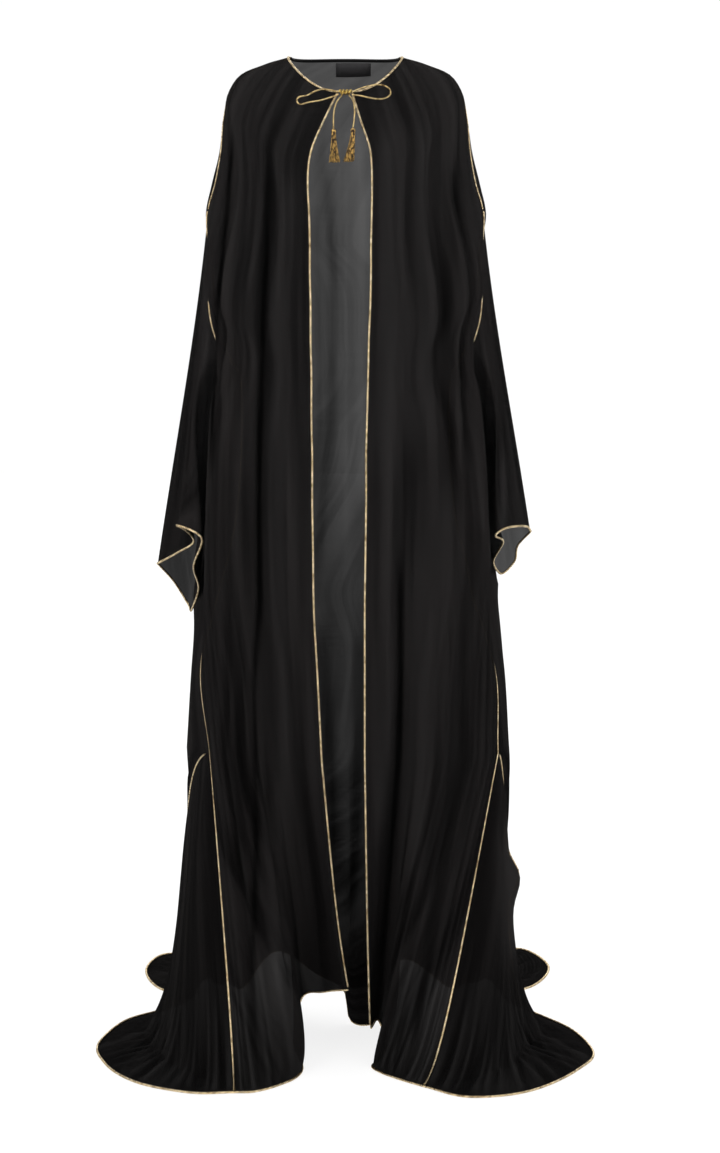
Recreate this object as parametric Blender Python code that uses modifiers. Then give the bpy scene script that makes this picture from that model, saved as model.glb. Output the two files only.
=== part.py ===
"""Sheer open-front kaftan, filled out as if worn, with gold piping, side godets and a tasselled tie.

Metres, +Z up. The origin is on the shoulder line, midway between the two side-neck points, where
the wearer's shoulders and neck hold the garment. +X runs to the wearer's left, -Y is the front.
The hem lies on the plane z = FLOOR.

The cloth is one surface, worked out level by level. SECTIONS gives a horizontal section for each
distance ("drop") down the cloth from the neck. Below the knee each thread of the cloth is a Bezier
curve that falls to a foot and runs out to the hem, as the HEM tables say. Folds are soft ridges
and valleys added along the surface's normal.
"""
import math

import bmesh
import bpy
import numpy as np
from mathutils import Matrix, Vector

# Sizes of the cloth and the trims
FLOOR = -1.500
WALL = 0.002
PIPING = 0.004
BINDING = 0.005
TIE_CORD = 0.0025
GAP = 0.0003
LABEL_WALL = 0.0008
SET_BACK = PIPING / 2 + GAP + 0.0002

# Grid of the panels
FRONT_COLUMNS = 20
BACK_COLUMNS = 30
SIDE_CROWDING = 0.45
GODET_COLUMNS = 10
SLEEVE_ROWS = 9
GODET_POINT = 0.22
CORNER_ROOM = 1.3
APEX_ROOM = 0.0022
HEM_ROOM = 0.0034
GODET_ROOM = 0.0034
CUFF_ROOM = 0.0040
ARMHOLE_SPLIT = 3
FALL = (0.0, 0.13, 0.26, 0.39, 0.51, 0.62, 0.72, 0.80, 0.87, 0.94, 1.0)

# Horizontal sections, one row for each level. Half-widths are positive, the front is at -Y.
# arm is half the depth of the armhole: 0 where front and back meet in a seam.
SECTION_NAMES = (
    "drop", "front_z", "side_z", "back_z", "front_y", "corner_x", "corner_y", "side_x", "side_y",
    "arm", "rear_x", "rear_y", "back_y", "edge_left", "edge_right")
SECTIONS = (
    (0.000, -0.0625, 0.000, 0.005, -0.100, 0.097, -0.066, 0.083, 0.0, 0.0, 0.080, 0.045, 0.065, -0.010, 0.010),
    (0.045, -0.107, -0.011, -0.025, -0.113, 0.134, -0.080, 0.121, 0.0, 0.0, 0.120, 0.060, 0.086, -0.0315, 0.0235),
    (0.090, -0.150, -0.032, -0.065, -0.125, 0.172, -0.090, 0.163, 0.0, 0.0, 0.165, 0.075, 0.104, -0.0490, 0.0370),
    (0.115, -0.172, -0.058, -0.088, -0.130, 0.187, -0.095, 0.177, 0.0, 0.0, 0.179, 0.082, 0.110, -0.0530, 0.0390),
    (0.140, -0.195, -0.087, -0.112, -0.135, 0.182, -0.100, 0.183, -0.004, 0.0, 0.194, 0.088, 0.116, -0.0540, 0.0395),
    (0.200, -0.245, -0.140, -0.165, -0.141, 0.180, -0.105, 0.188, -0.010, 0.0, 0.216, 0.098, 0.123, -0.052, 0.039),
    (0.255, -0.290, -0.187, -0.220, -0.145, 0.187, -0.108, 0.196, -0.014, 0.0, 0.237, 0.102, 0.127, -0.051, 0.038),
    (0.305, -0.330, -0.231, -0.268, -0.147, 0.200, -0.112, 0.208, -0.010, 0.0, 0.240, 0.105, 0.130, -0.051, 0.038),
    (0.365, -0.375, -0.285, -0.320, -0.149, 0.222, -0.122, 0.205, 0.0, 0.040, 0.218, 0.118, 0.132, -0.050, 0.037),
    (0.425, -0.425, -0.345, -0.375, -0.150, 0.230, -0.134, 0.204, 0.0, 0.060, 0.211, 0.126, 0.133, -0.050, 0.035),
    (0.475, -0.470, -0.395, -0.425, -0.150, 0.207, -0.144, 0.200, 0.0, 0.068, 0.211, 0.132, 0.134, -0.049, 0.034),
    (0.520, -0.510, -0.434, -0.470, -0.150, 0.216, -0.155, 0.187, 0.0, 0.072, 0.210, 0.140, 0.135, -0.049, 0.033),
    (0.560, -0.548, -0.462, -0.515, -0.150, 0.236, -0.165, 0.170, 0.0, 0.042, 0.206, 0.142, 0.135, -0.049, 0.032),
    (0.600, -0.585, -0.474, -0.555, -0.150, 0.254, -0.166, 0.162, 0.0, 0.0, 0.204, 0.138, 0.136, -0.048, 0.031),
    (0.680, -0.660, -0.580, -0.640, -0.150, 0.268, -0.164, 0.160, 0.0, 0.0, 0.250, 0.140, 0.136, -0.048, 0.031),
    (0.760, -0.735, -0.690, -0.725, -0.150, 0.271, -0.162, 0.168, -0.010, 0.0, 0.306, 0.160, 0.137, -0.047, 0.030),
    (0.850, -0.820, -0.800, -0.815, -0.149, 0.256, -0.158, 0.190, -0.045, 0.0, 0.305, 0.190, 0.138, -0.046, 0.029),
    (0.950, -0.915, -0.905, -0.915, -0.146, 0.220, -0.157, 0.216, -0.085, 0.0, 0.288, 0.070, 0.138, -0.041, 0.029),
    (1.080, -1.045, -1.040, -1.045, -0.138, 0.206, -0.165, 0.203, -0.100, 0.0, 0.320, 0.000, 0.136, -0.035, 0.029),
)
ARMHOLE_TOP = 7
ARMHOLE_END = 13
# How much further out the front, the side seam and the back lie on the right than on the left
SHIFT_NAMES = ("drop", "corner", "side", "rear")
SHIFTS_RIGHT = (
    (0.520, 0.000, 0.000, 0.000),
    (0.600, 0.006, 0.000, 0.000),
    (0.680, 0.014, 0.000, -0.029),
    (0.760, 0.014, 0.000, -0.044),
    (0.850, 0.012, 0.000, 0.015),
    (0.950, 0.014, 0.006, 0.004),
    (1.080, 0.016, 0.026, -0.018),
)
# A flap of cloth that stands out of the right side: its middle, its reach and how far it stands out
FLAP_CENTRE = (0.250, 0.065, -1.262)
FLAP_REACH = (0.050, 0.060, 0.034)
FLAP_PUSH = (0.020, 0.000, 0.000)

# Hem tables, one row for each thread. place runs along the panel's hem. bend is the curve's first
# control point, foot its second, and hem the end. A bend of None lies on the line to the foot.
BEND_SHARE = 0.72
HEM_FRONT_LEFT = (
    # place, bend, foot, hem
    (0.00, None, (-0.014, -0.108, -1.300), (0.004, -0.100, -1.401)),
    (0.12, None, (-0.045, -0.088, -1.310), (-0.032, -0.085, -1.408)),
    (0.23, None, (-0.072, -0.078, -1.330), (-0.068, -0.070, -1.424)),
    (0.31, None, (-0.074, -0.098, -1.400), (-0.078, -0.096, -1.480)),
    (0.39, None, (-0.054, -0.140, -1.450), (-0.066, -0.146, -1.498)),
    (0.49, None, (-0.054, -0.188, -1.450), (-0.065, -0.207, -1.498)),
    (0.55, None, (-0.068, -0.198, -1.480), (-0.075, -0.238, -1.498)),
    (0.62, None, (-0.092, -0.196, -1.500), (-0.091, -0.262, -1.498)),
    (0.80, None, (-0.135, -0.172, -1.500), (-0.126, -0.297, -1.498)),
    (1.00, None, (-0.165, -0.168, -1.495), (-0.157, -0.302, -1.498)),
)
HEM_FRONT_RIGHT = (
    (0.00, None, (0.034, -0.118, -1.340), (0.0385, -0.120, -1.4545)),
    (0.12, None, (0.054, -0.094, -1.360), (0.050, -0.100, -1.448)),
    (0.23, None, (0.066, -0.104, -1.430), (0.062, -0.104, -1.484)),
    (0.34, None, (0.052, -0.140, -1.460), (0.051, -0.138, -1.498)),
    (0.46, None, (0.050, -0.164, -1.460), (0.040, -0.172, -1.498)),
    (0.58, None, (0.068, -0.168, -1.490), (0.052, -0.202, -1.498)),
    (0.70, None, (0.092, -0.172, -1.500), (0.070, -0.226, -1.498)),
    (1.00, None, (0.142, -0.162, -1.495), (0.113, -0.272, -1.498)),
)
HEM_GODET_LEFT = (
    (0.00, None, (-0.165, -0.168, -1.495), (-0.157, -0.302, -1.498)),
    (0.22, (-0.230, -0.108, -1.390), (-0.214, -0.150, -1.540), (-0.224, -0.302, -1.498)),
    (0.42, (-0.252, -0.070, -1.380), (-0.250, -0.080, -1.570), (-0.306, -0.248, -1.498)),
    (0.60, (-0.264, -0.040, -1.320), (-0.250, -0.030, -1.580), (-0.358, -0.155, -1.498)),
    (0.80, (-0.276, 0.000, -1.220), (-0.242, 0.030, -1.580), (-0.376, -0.020, -1.498)),
    (0.90, (-0.288, 0.030, -1.140), (-0.236, 0.080, -1.560), (-0.350, 0.085, -1.498)),
    (1.00, (-0.286, 0.060, -1.070), (-0.222, 0.140, -1.500), (-0.300, 0.146, -1.498)),
)
HEM_GODET_RIGHT = (
    (0.00, None, (0.142, -0.162, -1.495), (0.113, -0.272, -1.498)),
    (0.22, (0.236, -0.106, -1.390), (0.204, -0.155, -1.540), (0.180, -0.324, -1.498)),
    (0.42, (0.246, -0.065, -1.400), (0.242, -0.080, -1.570), (0.268, -0.293, -1.498)),
    (0.60, (0.248, -0.035, -1.390), (0.242, -0.020, -1.580), (0.342, -0.192, -1.498)),
    (0.80, (0.270, 0.000, -1.300), (0.238, 0.025, -1.580), (0.374, -0.070, -1.498)),
    (0.90, (0.272, 0.040, -1.180), (0.238, 0.080, -1.560), (0.352, 0.036, -1.498)),
    (1.00, (0.258, 0.070, -1.080), (0.248, 0.130, -1.500), (0.298, 0.140, -1.498)),
)
# The back's hem, from the left godet seam to the right one
HEM_BACK = (
    (0.00, (-0.286, 0.060, -1.070), (-0.222, 0.140, -1.500), (-0.300, 0.146, -1.498)),
    (0.04, (-0.282, 0.090, -1.122), (-0.204, 0.190, -1.530), (-0.276, 0.205, -1.498)),
    (0.065, (-0.264, 0.105, -1.180), (-0.190, 0.225, -1.550), (-0.286, 0.248, -1.498)),
    (0.09, (-0.252, 0.115, -1.240), (-0.170, 0.255, -1.560), (-0.314, 0.286, -1.498)),
    (0.15, None, (-0.190, 0.290, -1.550), (-0.348, 0.420, -1.498)),
    (0.21, None, (-0.208, 0.280, -1.550), (-0.320, 0.530, -1.498)),
    (0.27, None, (-0.245, 0.280, -1.540), (-0.235, 0.460, -1.498)),
    (0.30, None, (-0.230, 0.240, -1.520), (-0.200, 0.350, -1.498)),
    (0.34, None, (-0.170, 0.180, -1.440), (-0.175, 0.240, -1.486)),
    (0.40, None, (-0.110, 0.150, -1.320), (-0.116, 0.170, -1.406)),
    (0.46, None, (-0.045, 0.145, -1.340), (-0.045, 0.150, -1.440)),
    (0.49, None, (-0.002, 0.110, -1.370), (-0.002, 0.104, -1.456)),
    (0.51, None, (0.004, 0.082, -1.380), (0.005, 0.076, -1.490)),
    (0.535, None, (0.022, 0.062, -1.390), (0.024, 0.056, -1.498)),
    (0.56, None, (0.042, 0.070, -1.380), (0.044, 0.066, -1.498)),
    (0.60, None, (0.080, 0.145, -1.330), (0.082, 0.155, -1.420)),
    (0.66, None, (0.170, 0.180, -1.440), (0.175, 0.240, -1.486)),
    (0.70, None, (0.230, 0.240, -1.520), (0.198, 0.360, -1.498)),
    (0.73, None, (0.245, 0.280, -1.540), (0.232, 0.480, -1.498)),
    (0.79, None, (0.208, 0.280, -1.550), (0.308, 0.568, -1.498)),
    (0.85, None, (0.190, 0.290, -1.550), (0.350, 0.440, -1.498)),
    (0.91, (0.258, 0.120, -1.260), (0.174, 0.255, -1.560), (0.312, 0.300, -1.498)),
    (0.935, (0.272, 0.112, -1.200), (0.206, 0.220, -1.560), (0.283, 0.262, -1.498)),
    (0.96, (0.270, 0.098, -1.140), (0.224, 0.180, -1.540), (0.276, 0.208, -1.498)),
    (1.00, (0.258, 0.070, -1.080), (0.248, 0.130, -1.500), (0.298, 0.140, -1.498)),
)

# Folds: how wide a fold is, over the panel's width, and how high it stands, then its way down the
# panel as drops and places across. A valley has a negative height.
HEM_DROP = 1.560
FOLDS_FRONT_LEFT = (
    (0.055, -0.014, ((0.02, 0.335), (0.30, 0.300), (0.85, 0.250), (1.08, 0.300), (1.40, 0.550))),
    (0.045, -0.007, ((0.02, 0.480), (0.115, 0.440), (0.45, 0.410))),
    (0.050, 0.007, ((0.10, 0.390), (0.85, 0.340), (1.08, 0.420), (1.40, 0.640))),
    (0.055, -0.012, ((0.12, 0.700), (0.40, 0.620), (0.52, 0.700), (0.66, 0.760))),
    (0.050, -0.010, ((0.58, 0.430), (0.85, 0.450), (0.95, 0.560), (1.08, 0.680), (1.45, 0.800))),
    (0.050, -0.008, ((0.85, 0.120), (1.50, 0.120))),
    (0.060, -0.013, ((0.35, 0.890), (0.90, 0.890))),
)
FOLDS_FRONT_RIGHT = (
    (0.050, -0.010, ((0.01, 0.420), (0.115, 0.290), (0.45, 0.260))),
    (0.050, -0.011, ((0.04, 0.500), (0.115, 0.480), (0.305, 0.420), (0.85, 0.380))),
    (0.050, 0.007, ((0.15, 0.340), (0.60, 0.310), (1.08, 0.300), (1.45, 0.360))),
    (0.050, -0.011, ((0.15, 0.690), (0.40, 0.640), (0.475, 0.660), (0.68, 0.450), (0.85, 0.480),
                     (0.95, 0.550), (1.08, 0.570), (1.45, 0.750))),
    (0.050, -0.010, ((0.90, 0.190), (1.20, 0.170), (1.40, 0.250), (1.56, 0.400))),
    (0.060, -0.013, ((0.35, 0.890), (0.90, 0.890))),
)
FOLDS_BACK = (
    (0.022, -0.009, ((0.05, 0.439), (1.50, 0.420))),
    (0.022, 0.008, ((0.15, 0.499), (1.50, 0.490))),
    (0.022, -0.009, ((0.05, 0.560), (1.50, 0.570))),
    (0.026, -0.012, ((0.08, 0.339), (1.60, 0.330))),
    (0.026, -0.012, ((0.08, 0.661), (1.60, 0.670))),
    (0.026, 0.008, ((0.20, 0.258), (1.70, 0.250))),
    (0.026, 0.008, ((0.20, 0.742), (1.70, 0.750))),
    (0.024, -0.009, ((0.45, 0.180), (1.60, 0.180))),
    (0.024, -0.009, ((0.45, 0.820), (1.60, 0.820))),
    (0.030, -0.013, ((0.35, 0.055), (0.90, 0.055))),
    (0.030, -0.013, ((0.35, 0.945), (0.90, 0.945))),
)

# Threads of a sleeve, from the outer line round the front. place runs round the armhole, end is
# the hem of the plain sleeve, swing is how far the thread bows out on its way down, and pleat is
# how far the front pleat moves its end.
SLEEVE_LEFT = (
    # place, end, swing, pleat
    (0.00, (-0.288, 0.000, -0.763), -0.003, (0.0, 0.0, 0.0)),
    (0.08, (-0.280, -0.030, -0.748), -0.002, (0.024, -0.002, 0.003)),
    (0.16, (-0.268, -0.055, -0.733), 0.004, (0.040, -0.002, 0.009)),
    (0.20, (-0.260, -0.068, -0.723), 0.006, (0.025, -0.014, 0.013)),
    (0.25, (-0.250, -0.080, -0.716), 0.008, (0.000, -0.022, 0.017)),
    (0.34, (-0.228, -0.085, -0.724), 0.018, (0.016, -0.028, 0.006)),
    (0.42, (-0.220, -0.055, -0.752), 0.022, (-0.008, -0.012, -0.010)),
    (0.50, (-0.225, 0.000, -0.800), 0.018, (0.0, 0.0, 0.0)),
    (0.58, (-0.238, 0.040, -0.836), 0.006, (0.0, 0.0, 0.0)),
    (0.70, (-0.245, 0.060, -0.832), 0.004, (0.0, 0.0, 0.0)),
    (0.86, (-0.267, 0.040, -0.793), -0.002, (0.0, 0.0, 0.0)),
)
SLEEVE_RIGHT = (
    (0.00, (0.283, 0.000, -0.714), -0.003, (0.0, 0.0, 0.0)),
    (0.08, (0.276, -0.025, -0.706), -0.002, (0.0, 0.0, 0.000)),
    (0.16, (0.262, -0.050, -0.702), 0.004, (0.0, -0.004, -0.001)),
    (0.25, (0.243, -0.070, -0.704), 0.008, (-0.004, -0.008, -0.001)),
    (0.34, (0.226, -0.074, -0.712), 0.018, (-0.002, -0.008, -0.004)),
    (0.42, (0.220, -0.050, -0.728), 0.022, (0.017, -0.008, 0.001)),
    (0.50, (0.220, 0.004, -0.764), 0.018, (0.0, 0.0, 0.0)),
    (0.58, (0.234, 0.050, -0.785), 0.006, (0.0, 0.0, 0.0)),
    (0.70, (0.258, 0.062, -0.768), 0.004, (0.0, 0.0, 0.0)),
    (0.86, (0.265, 0.035, -0.738), -0.002, (0.0, 0.0, 0.0)),
)
PLEAT_SPAN = (0.10, 0.30)
PLEAT_GROWTH = 2.2
SWING_LIFT = 0.5
SLEEVE_CROWDING = 1.25

# The label, a plain patch inside the back neck: from where to where, and how far down the back
LABEL_ACROSS = (-0.0151, 0.0385)
LABEL_DOWN = (0.005, 0.0345)
LABEL_GRID = (6, 2)

# The tie. Its routes are chosen by hand, in front of the fronts.
KNOT_CENTRE = (0.0004, -0.1050, -0.0645)
KNOT_SIZE = (0.0229, 0.0085, 0.0082)
LOOP_LEFT = (
    (-0.0112, -0.1055, -0.0637), (-0.0214, -0.1085, -0.0617), (-0.0328, -0.1095, -0.0609),
    (-0.0452, -0.1100, -0.0643), (-0.0569, -0.1095, -0.0703), (-0.0660, -0.1085, -0.0738),
    (-0.0702, -0.1080, -0.0765), (-0.0671, -0.1095, -0.0792), (-0.0532, -0.1125, -0.0799),
    (-0.0378, -0.1135, -0.0777), (-0.0225, -0.1125, -0.0733), (-0.0097, -0.1066, -0.0682))
LOOP_RIGHT = (
    (0.0119, -0.1055, -0.0637), (0.0227, -0.1085, -0.0595), (0.0344, -0.1080, -0.0561),
    (0.0461, -0.1050, -0.0537), (0.0579, -0.1020, -0.0546), (0.0662, -0.1010, -0.0603),
    (0.0668, -0.1035, -0.0672), (0.0600, -0.1075, -0.0732), (0.0468, -0.1110, -0.0751),
    (0.0351, -0.1125, -0.0733), (0.0235, -0.1120, -0.0706), (0.0103, -0.1066, -0.0682))
TAIL_LEFT = (
    (-0.0043, -0.1068, -0.0694), (-0.0092, -0.1135, -0.0754), (-0.0136, -0.1190, -0.0843),
    (-0.0159, -0.1230, -0.0952), (-0.0167, -0.1255, -0.1070), (-0.0164, -0.1262, -0.1192))
TAIL_RIGHT = (
    (0.0059, -0.1068, -0.0694), (0.0109, -0.1135, -0.0754), (0.0135, -0.1190, -0.0843),
    (0.0143, -0.1230, -0.0952), (0.0133, -0.1255, -0.1070), (0.0118, -0.1262, -0.1183))
TASSEL_HEAD = 0.0038
TASSEL_LENGTH = 0.0430
TASSEL_STRANDS = 18
TASSEL_FLARE = 0.0080
TASSEL_LEAN = {-1: (0.0015, 0.0, 0.0), 1: (-0.0062, 0.0, 0.0)}
STRAND = 0.00075


def table(rows, names):
    """The columns of a table, by name."""
    values = np.array(rows, dtype=float)
    return {name: values[:, index] for index, name in enumerate(names)}


SECTION = table(SECTIONS, SECTION_NAMES)
SHIFT = table(SHIFTS_RIGHT, SHIFT_NAMES)


def bezier(points, share):
    """Points of a cubic Bezier curve; the last axis of each control point is x, y, z."""
    start, first, second, end = (np.asarray(point, dtype=float) for point in points)
    share = np.asarray(share, dtype=float)[..., None]
    rest = 1 - share
    return rest ** 3 * start + 3 * rest ** 2 * share * first + 3 * rest * share ** 2 * second + share ** 3 * end


def smooth_row(places, values, wanted):
    """Cubic interpolation through a table's rows, with no overshoot at its ends."""
    places = np.asarray(places, dtype=float)
    values = np.asarray(values, dtype=float)
    slopes = np.gradient(values, places, axis=0)
    index = np.clip(np.searchsorted(places, wanted, side="right") - 1, 0, len(places) - 2)
    span = places[index + 1] - places[index]
    t = ((wanted - places[index]) / span)[:, None]
    span = span[:, None]
    low, high = values[index], values[index + 1]
    return (low * (1 + 2 * t) * (1 - t) ** 2 + high * t ** 2 * (3 - 2 * t)
            + slopes[index] * span * t * (1 - t) ** 2 - slopes[index + 1] * span * t ** 2 * (1 - t))


def half_width(column, shift, level, side):
    """One of a level's half-widths, with the right side's shift."""
    width = SECTION[column][level]
    if side > 0:
        width += np.interp(SECTION["drop"][level], SHIFT["drop"], SHIFT[shift])
    return width


def level_weight(across):
    """How far a thread's level has moved from the front's, or the back's, to the side's."""
    return np.sin(np.pi * across / 2) ** 2


def front_section(level, side, across):
    """One level of a front: across runs from the centre edge to the side seam."""
    row = {name: values[level] for name, values in SECTION.items()}
    edge = row["edge_left"] if side < 0 else row["edge_right"]
    corner = side * half_width("corner_x", "corner", level, side)
    seam = (side * half_width("side_x", "side", level, side), row["side_y"] - row["arm"], 0.0)
    controls = ((edge, row["front_y"], 0.0), ((edge + corner) / 2, row["front_y"], 0.0),
                (corner, row["corner_y"], 0.0), seam)
    points = bezier(controls, across)
    points[:, 2] = row["front_z"] + (row["side_z"] - row["front_z"]) * level_weight(across)
    return points


def back_section(level, across):
    """One level of the back: across runs from the left side seam to the right one."""
    row = {name: values[level] for name, values in SECTION.items()}
    halves = []
    for side in (-1, 1):
        share = 1 - np.abs(1 - 2 * across)
        seam = (side * half_width("side_x", "side", level, side), row["side_y"] + row["arm"], 0.0)
        rear = side * half_width("rear_x", "rear", level, side)
        controls = (seam, (rear, row["rear_y"], 0.0), (rear / 2, row["back_y"], 0.0), (0.0, row["back_y"], 0.0))
        halves.append(bezier(controls, share))
    points = np.where((across < 0.5)[:, None], halves[0], halves[1])
    share = np.abs(1 - 2 * across)
    points[:, 2] = row["back_z"] + (row["side_z"] - row["back_z"]) * level_weight(share)
    return points


def hem_rows(rows, across, knees):
    """Control points of the threads below the knee, read smoothly along a hem table."""
    places = [row[0] for row in rows]
    tops = np.array([[np.interp(row[0], across, knees[:, axis]) for axis in range(3)] for row in rows])
    foots = np.array([row[2] for row in rows])
    lines = tops + BEND_SHARE * (foots - tops)
    bends = np.array([line if row[1] is None else row[1] for row, line in zip(rows, lines)])
    hems = np.array([row[3] for row in rows])
    return [smooth_row(places, values, across) for values in (bends, foots, hems)]


def fall(rows, across, knees):
    """The threads from the knee to the hem, as a grid of rows and columns."""
    bends, foots, hems = hem_rows(rows, across, knees)
    return np.array([bezier((knees, bends, foots, hems), np.full(len(across), share)) for share in FALL[1:]])


def grid_normals(grid):
    """Unit normals of a grid whose rows run down and whose columns run to +X at the back."""
    down = np.gradient(grid, axis=0)
    along = np.gradient(grid, axis=1)
    normals = np.cross(along, down)
    lengths = np.linalg.norm(normals, axis=2, keepdims=True)
    return normals / np.maximum(lengths, 1e-9)


def drops_of(rows):
    """The drop of each grid row, past the knee as well."""
    knee = SECTION["drop"][-1]
    fallen = [knee + share * (HEM_DROP - knee) for share in FALL[1:]]
    return np.concatenate([SECTION["drop"], fallen])[:rows]


def ramp(value, low, high):
    """0 below low, 1 above high, smooth between."""
    share = np.clip((value - low) / (high - low), 0, 1)
    return share * share * (3 - 2 * share)


def fold_heights(folds, drops, across):
    """Heights of all the folds over a panel's grid."""
    heights = np.zeros((len(drops), len(across)))
    fade = 1 - ramp(drops, 1.36, HEM_DROP)
    for width, height, way in folds:
        stops, places = np.array(way).T
        centre = np.interp(drops, stops, places)
        grown = ramp(drops, stops[0], stops[0] + 0.12)
        gone = 1 - ramp(drops, stops[-1] - 0.15, stops[-1])
        shape = np.exp(-((across[None, :] - centre[:, None]) / width) ** 2)
        heights += height * (grown * gone * fade)[:, None] * shape
    return heights


def keep_edges(heights, across, start, end):
    """Hold a panel's edges still, so that its neighbours meet them."""
    left = ramp(across, 0.0, start) if start else np.ones(len(across))
    right = 1 - ramp(across, 1 - end, 1.0) if end else np.ones(len(across))
    return heights * (left * right)[None, :]


def stand_out(grid):
    """Push the cloth out where the flap is."""
    away = (grid - np.array(FLAP_CENTRE)) / np.array(FLAP_REACH)
    return grid + np.exp(-(away ** 2).sum(axis=-1, keepdims=True)) * np.array(FLAP_PUSH)


def above_floor(grid):
    """Keep the outer face a wall's thickness above the floor."""
    grid = stand_out(grid)
    grid[..., 2] = np.maximum(grid[..., 2], FLOOR + WALL)
    return grid


def front_grid(side):
    """Outer face of a front, from the neck and shoulder down, centre edge to side seam."""
    across = np.linspace(0, 1, FRONT_COLUMNS + 1)
    top = np.array([front_section(level, side, across) for level in range(len(SECTIONS))])
    hem = HEM_FRONT_LEFT if side < 0 else HEM_FRONT_RIGHT
    folds = FOLDS_FRONT_LEFT if side < 0 else FOLDS_FRONT_RIGHT
    grid = np.concatenate([top, fall(hem, across, top[-1])])
    heights = fold_heights(folds, drops_of(len(grid)), across)
    heights = keep_edges(heights, across, 0.06, 0.05)
    grid = grid + heights[..., None] * grid_normals(grid) * -side
    return above_floor(grid)


def back_places():
    """Places of the back's columns, closer together at its sides, where the hem turns most."""
    even = np.linspace(0, 1, BACK_COLUMNS + 1)
    return even + SIDE_CROWDING * ((1 - np.cos(np.pi * even)) / 2 - even)


def back_grid():
    """Outer face of the back, from the neck down, left side seam to right side seam."""
    across = back_places()
    top = np.array([back_section(level, across) for level in range(len(SECTIONS))])
    grid = np.concatenate([top, fall(HEM_BACK, across, top[-1])])
    heights = fold_heights(FOLDS_BACK, drops_of(len(grid)), across)
    heights = keep_edges(heights, across, 0.025, 0.025)
    grid = grid + heights[..., None] * grid_normals(grid)
    return above_floor(grid)


def godet_grid(side, apex):
    """Outer face of a side godet, from its point at the knee to the hem, front seam to back seam."""
    across = np.linspace(0, 1, GODET_COLUMNS + 1)
    rows = HEM_GODET_LEFT if side < 0 else HEM_GODET_RIGHT
    knees = np.repeat(apex[None, :], len(across), axis=0)
    fallen = fall(rows, across, knees)
    point = apex + (fallen[:1] - apex) * GODET_POINT
    return above_floor(np.concatenate([knees[None], point, fallen]))


def armhole_loop(front, back, side):
    """The armhole, as points on the edges of the front and the back, over the arm and round the front."""
    seam = -1
    back_seam = 0 if side < 0 else -1
    levels = range(ARMHOLE_TOP, ARMHOLE_END + 1)
    loop = [front[level, seam] for level in levels]
    loop += [back[level, back_seam] for level in reversed(levels[1:-1])]
    return np.array(loop)


def split_loop(loop, parts):
    """More points on a closed loop's own straight pieces."""
    following = np.roll(loop, -1, axis=0)
    points = [loop + (following - loop) * part / parts for part in range(parts)]
    return np.stack(points, axis=1).reshape(-1, 3)


def sleeve_grid(side, loop):
    """Outer face of a sleeve: rows from the armhole to the hem, columns round it."""
    rows = SLEEVE_LEFT if side < 0 else SLEEVE_RIGHT
    count = len(loop)
    around = np.arange(count) / count
    places = np.array([row[0] for row in rows] + [1.0])
    ends = np.array([row[1] for row in rows] + [rows[0][1]])
    swings = np.array([row[2] for row in rows] + [rows[0][2]])
    pleats = np.array([row[3] for row in rows] + [rows[0][3]])
    ends = smooth_row(places, ends, around)
    pleats = smooth_row(places, pleats, around)
    swings = np.interp(around, places, swings)[:, None] * np.array([side, 0.0, SWING_LIFT])
    grid = []
    for share in np.linspace(0, 1, SLEEVE_ROWS) ** SLEEVE_CROWDING:
        bow = 4 * share * (1 - share) ** 2 * swings * 2
        grid.append(loop + (ends - loop) * share + bow + pleats * share ** PLEAT_GROWTH)
    return np.array(grid)


def unit(vectors):
    return vectors / np.maximum(np.linalg.norm(vectors, axis=-1, keepdims=True), 1e-9)


def square_to(step, along):
    """The part of each step that is square to its stretch of seam, as a unit vector."""
    return unit(step - (step * along).sum(axis=-1, keepdims=True) * along)


def set_back(grid, axis, end, distance=SET_BACK, closed=False):
    """Move one edge of a grid back along the cloth, square to its seam, to leave room for the piping."""
    moved = np.moveaxis(grid, axis, 0)
    edge, inner = (0, 1) if end == 0 else (-1, -2)
    line = moved[edge].copy()
    before = line - np.roll(line, 1, axis=0)
    after = np.roll(line, -1, axis=0) - line
    room = np.ones((len(line), 1)) * distance
    if not closed:
        before[0] = after[0]
        after[-1] = before[-1]
        room[[0, -1]] *= CORNER_ROOM
    step = moved[inner] - line
    first = square_to(step, unit(before))
    second = square_to(step, unit(after))
    turn = (first * second).sum(axis=-1, keepdims=True)
    shift = (first + second) / np.maximum(1 + turn, 0.5) * room
    if not closed:
        for corner in (0, -1):
            slant = abs((unit(step[corner]) * first[corner]).sum())
            shift[corner] = unit(step[corner]) * room[corner] / max(slant, 0.4)
    moved[edge] = line + shift
    return np.moveaxis(moved, 0, axis)


def new_collection(name):
    collection = bpy.data.collections.new(name)
    bpy.context.scene.collection.children.link(collection)
    return collection


def new_material(name, colour, roughness, metallic=0.0, alpha=1.0):
    material = bpy.data.materials.new(name)
    material.use_nodes = True
    shader = material.node_tree.nodes["Principled BSDF"]
    shader.inputs["Base Color"].default_value = (*colour, 1.0)
    shader.inputs["Roughness"].default_value = roughness
    shader.inputs["Metallic"].default_value = metallic
    shader.inputs["Alpha"].default_value = alpha
    return material


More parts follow.
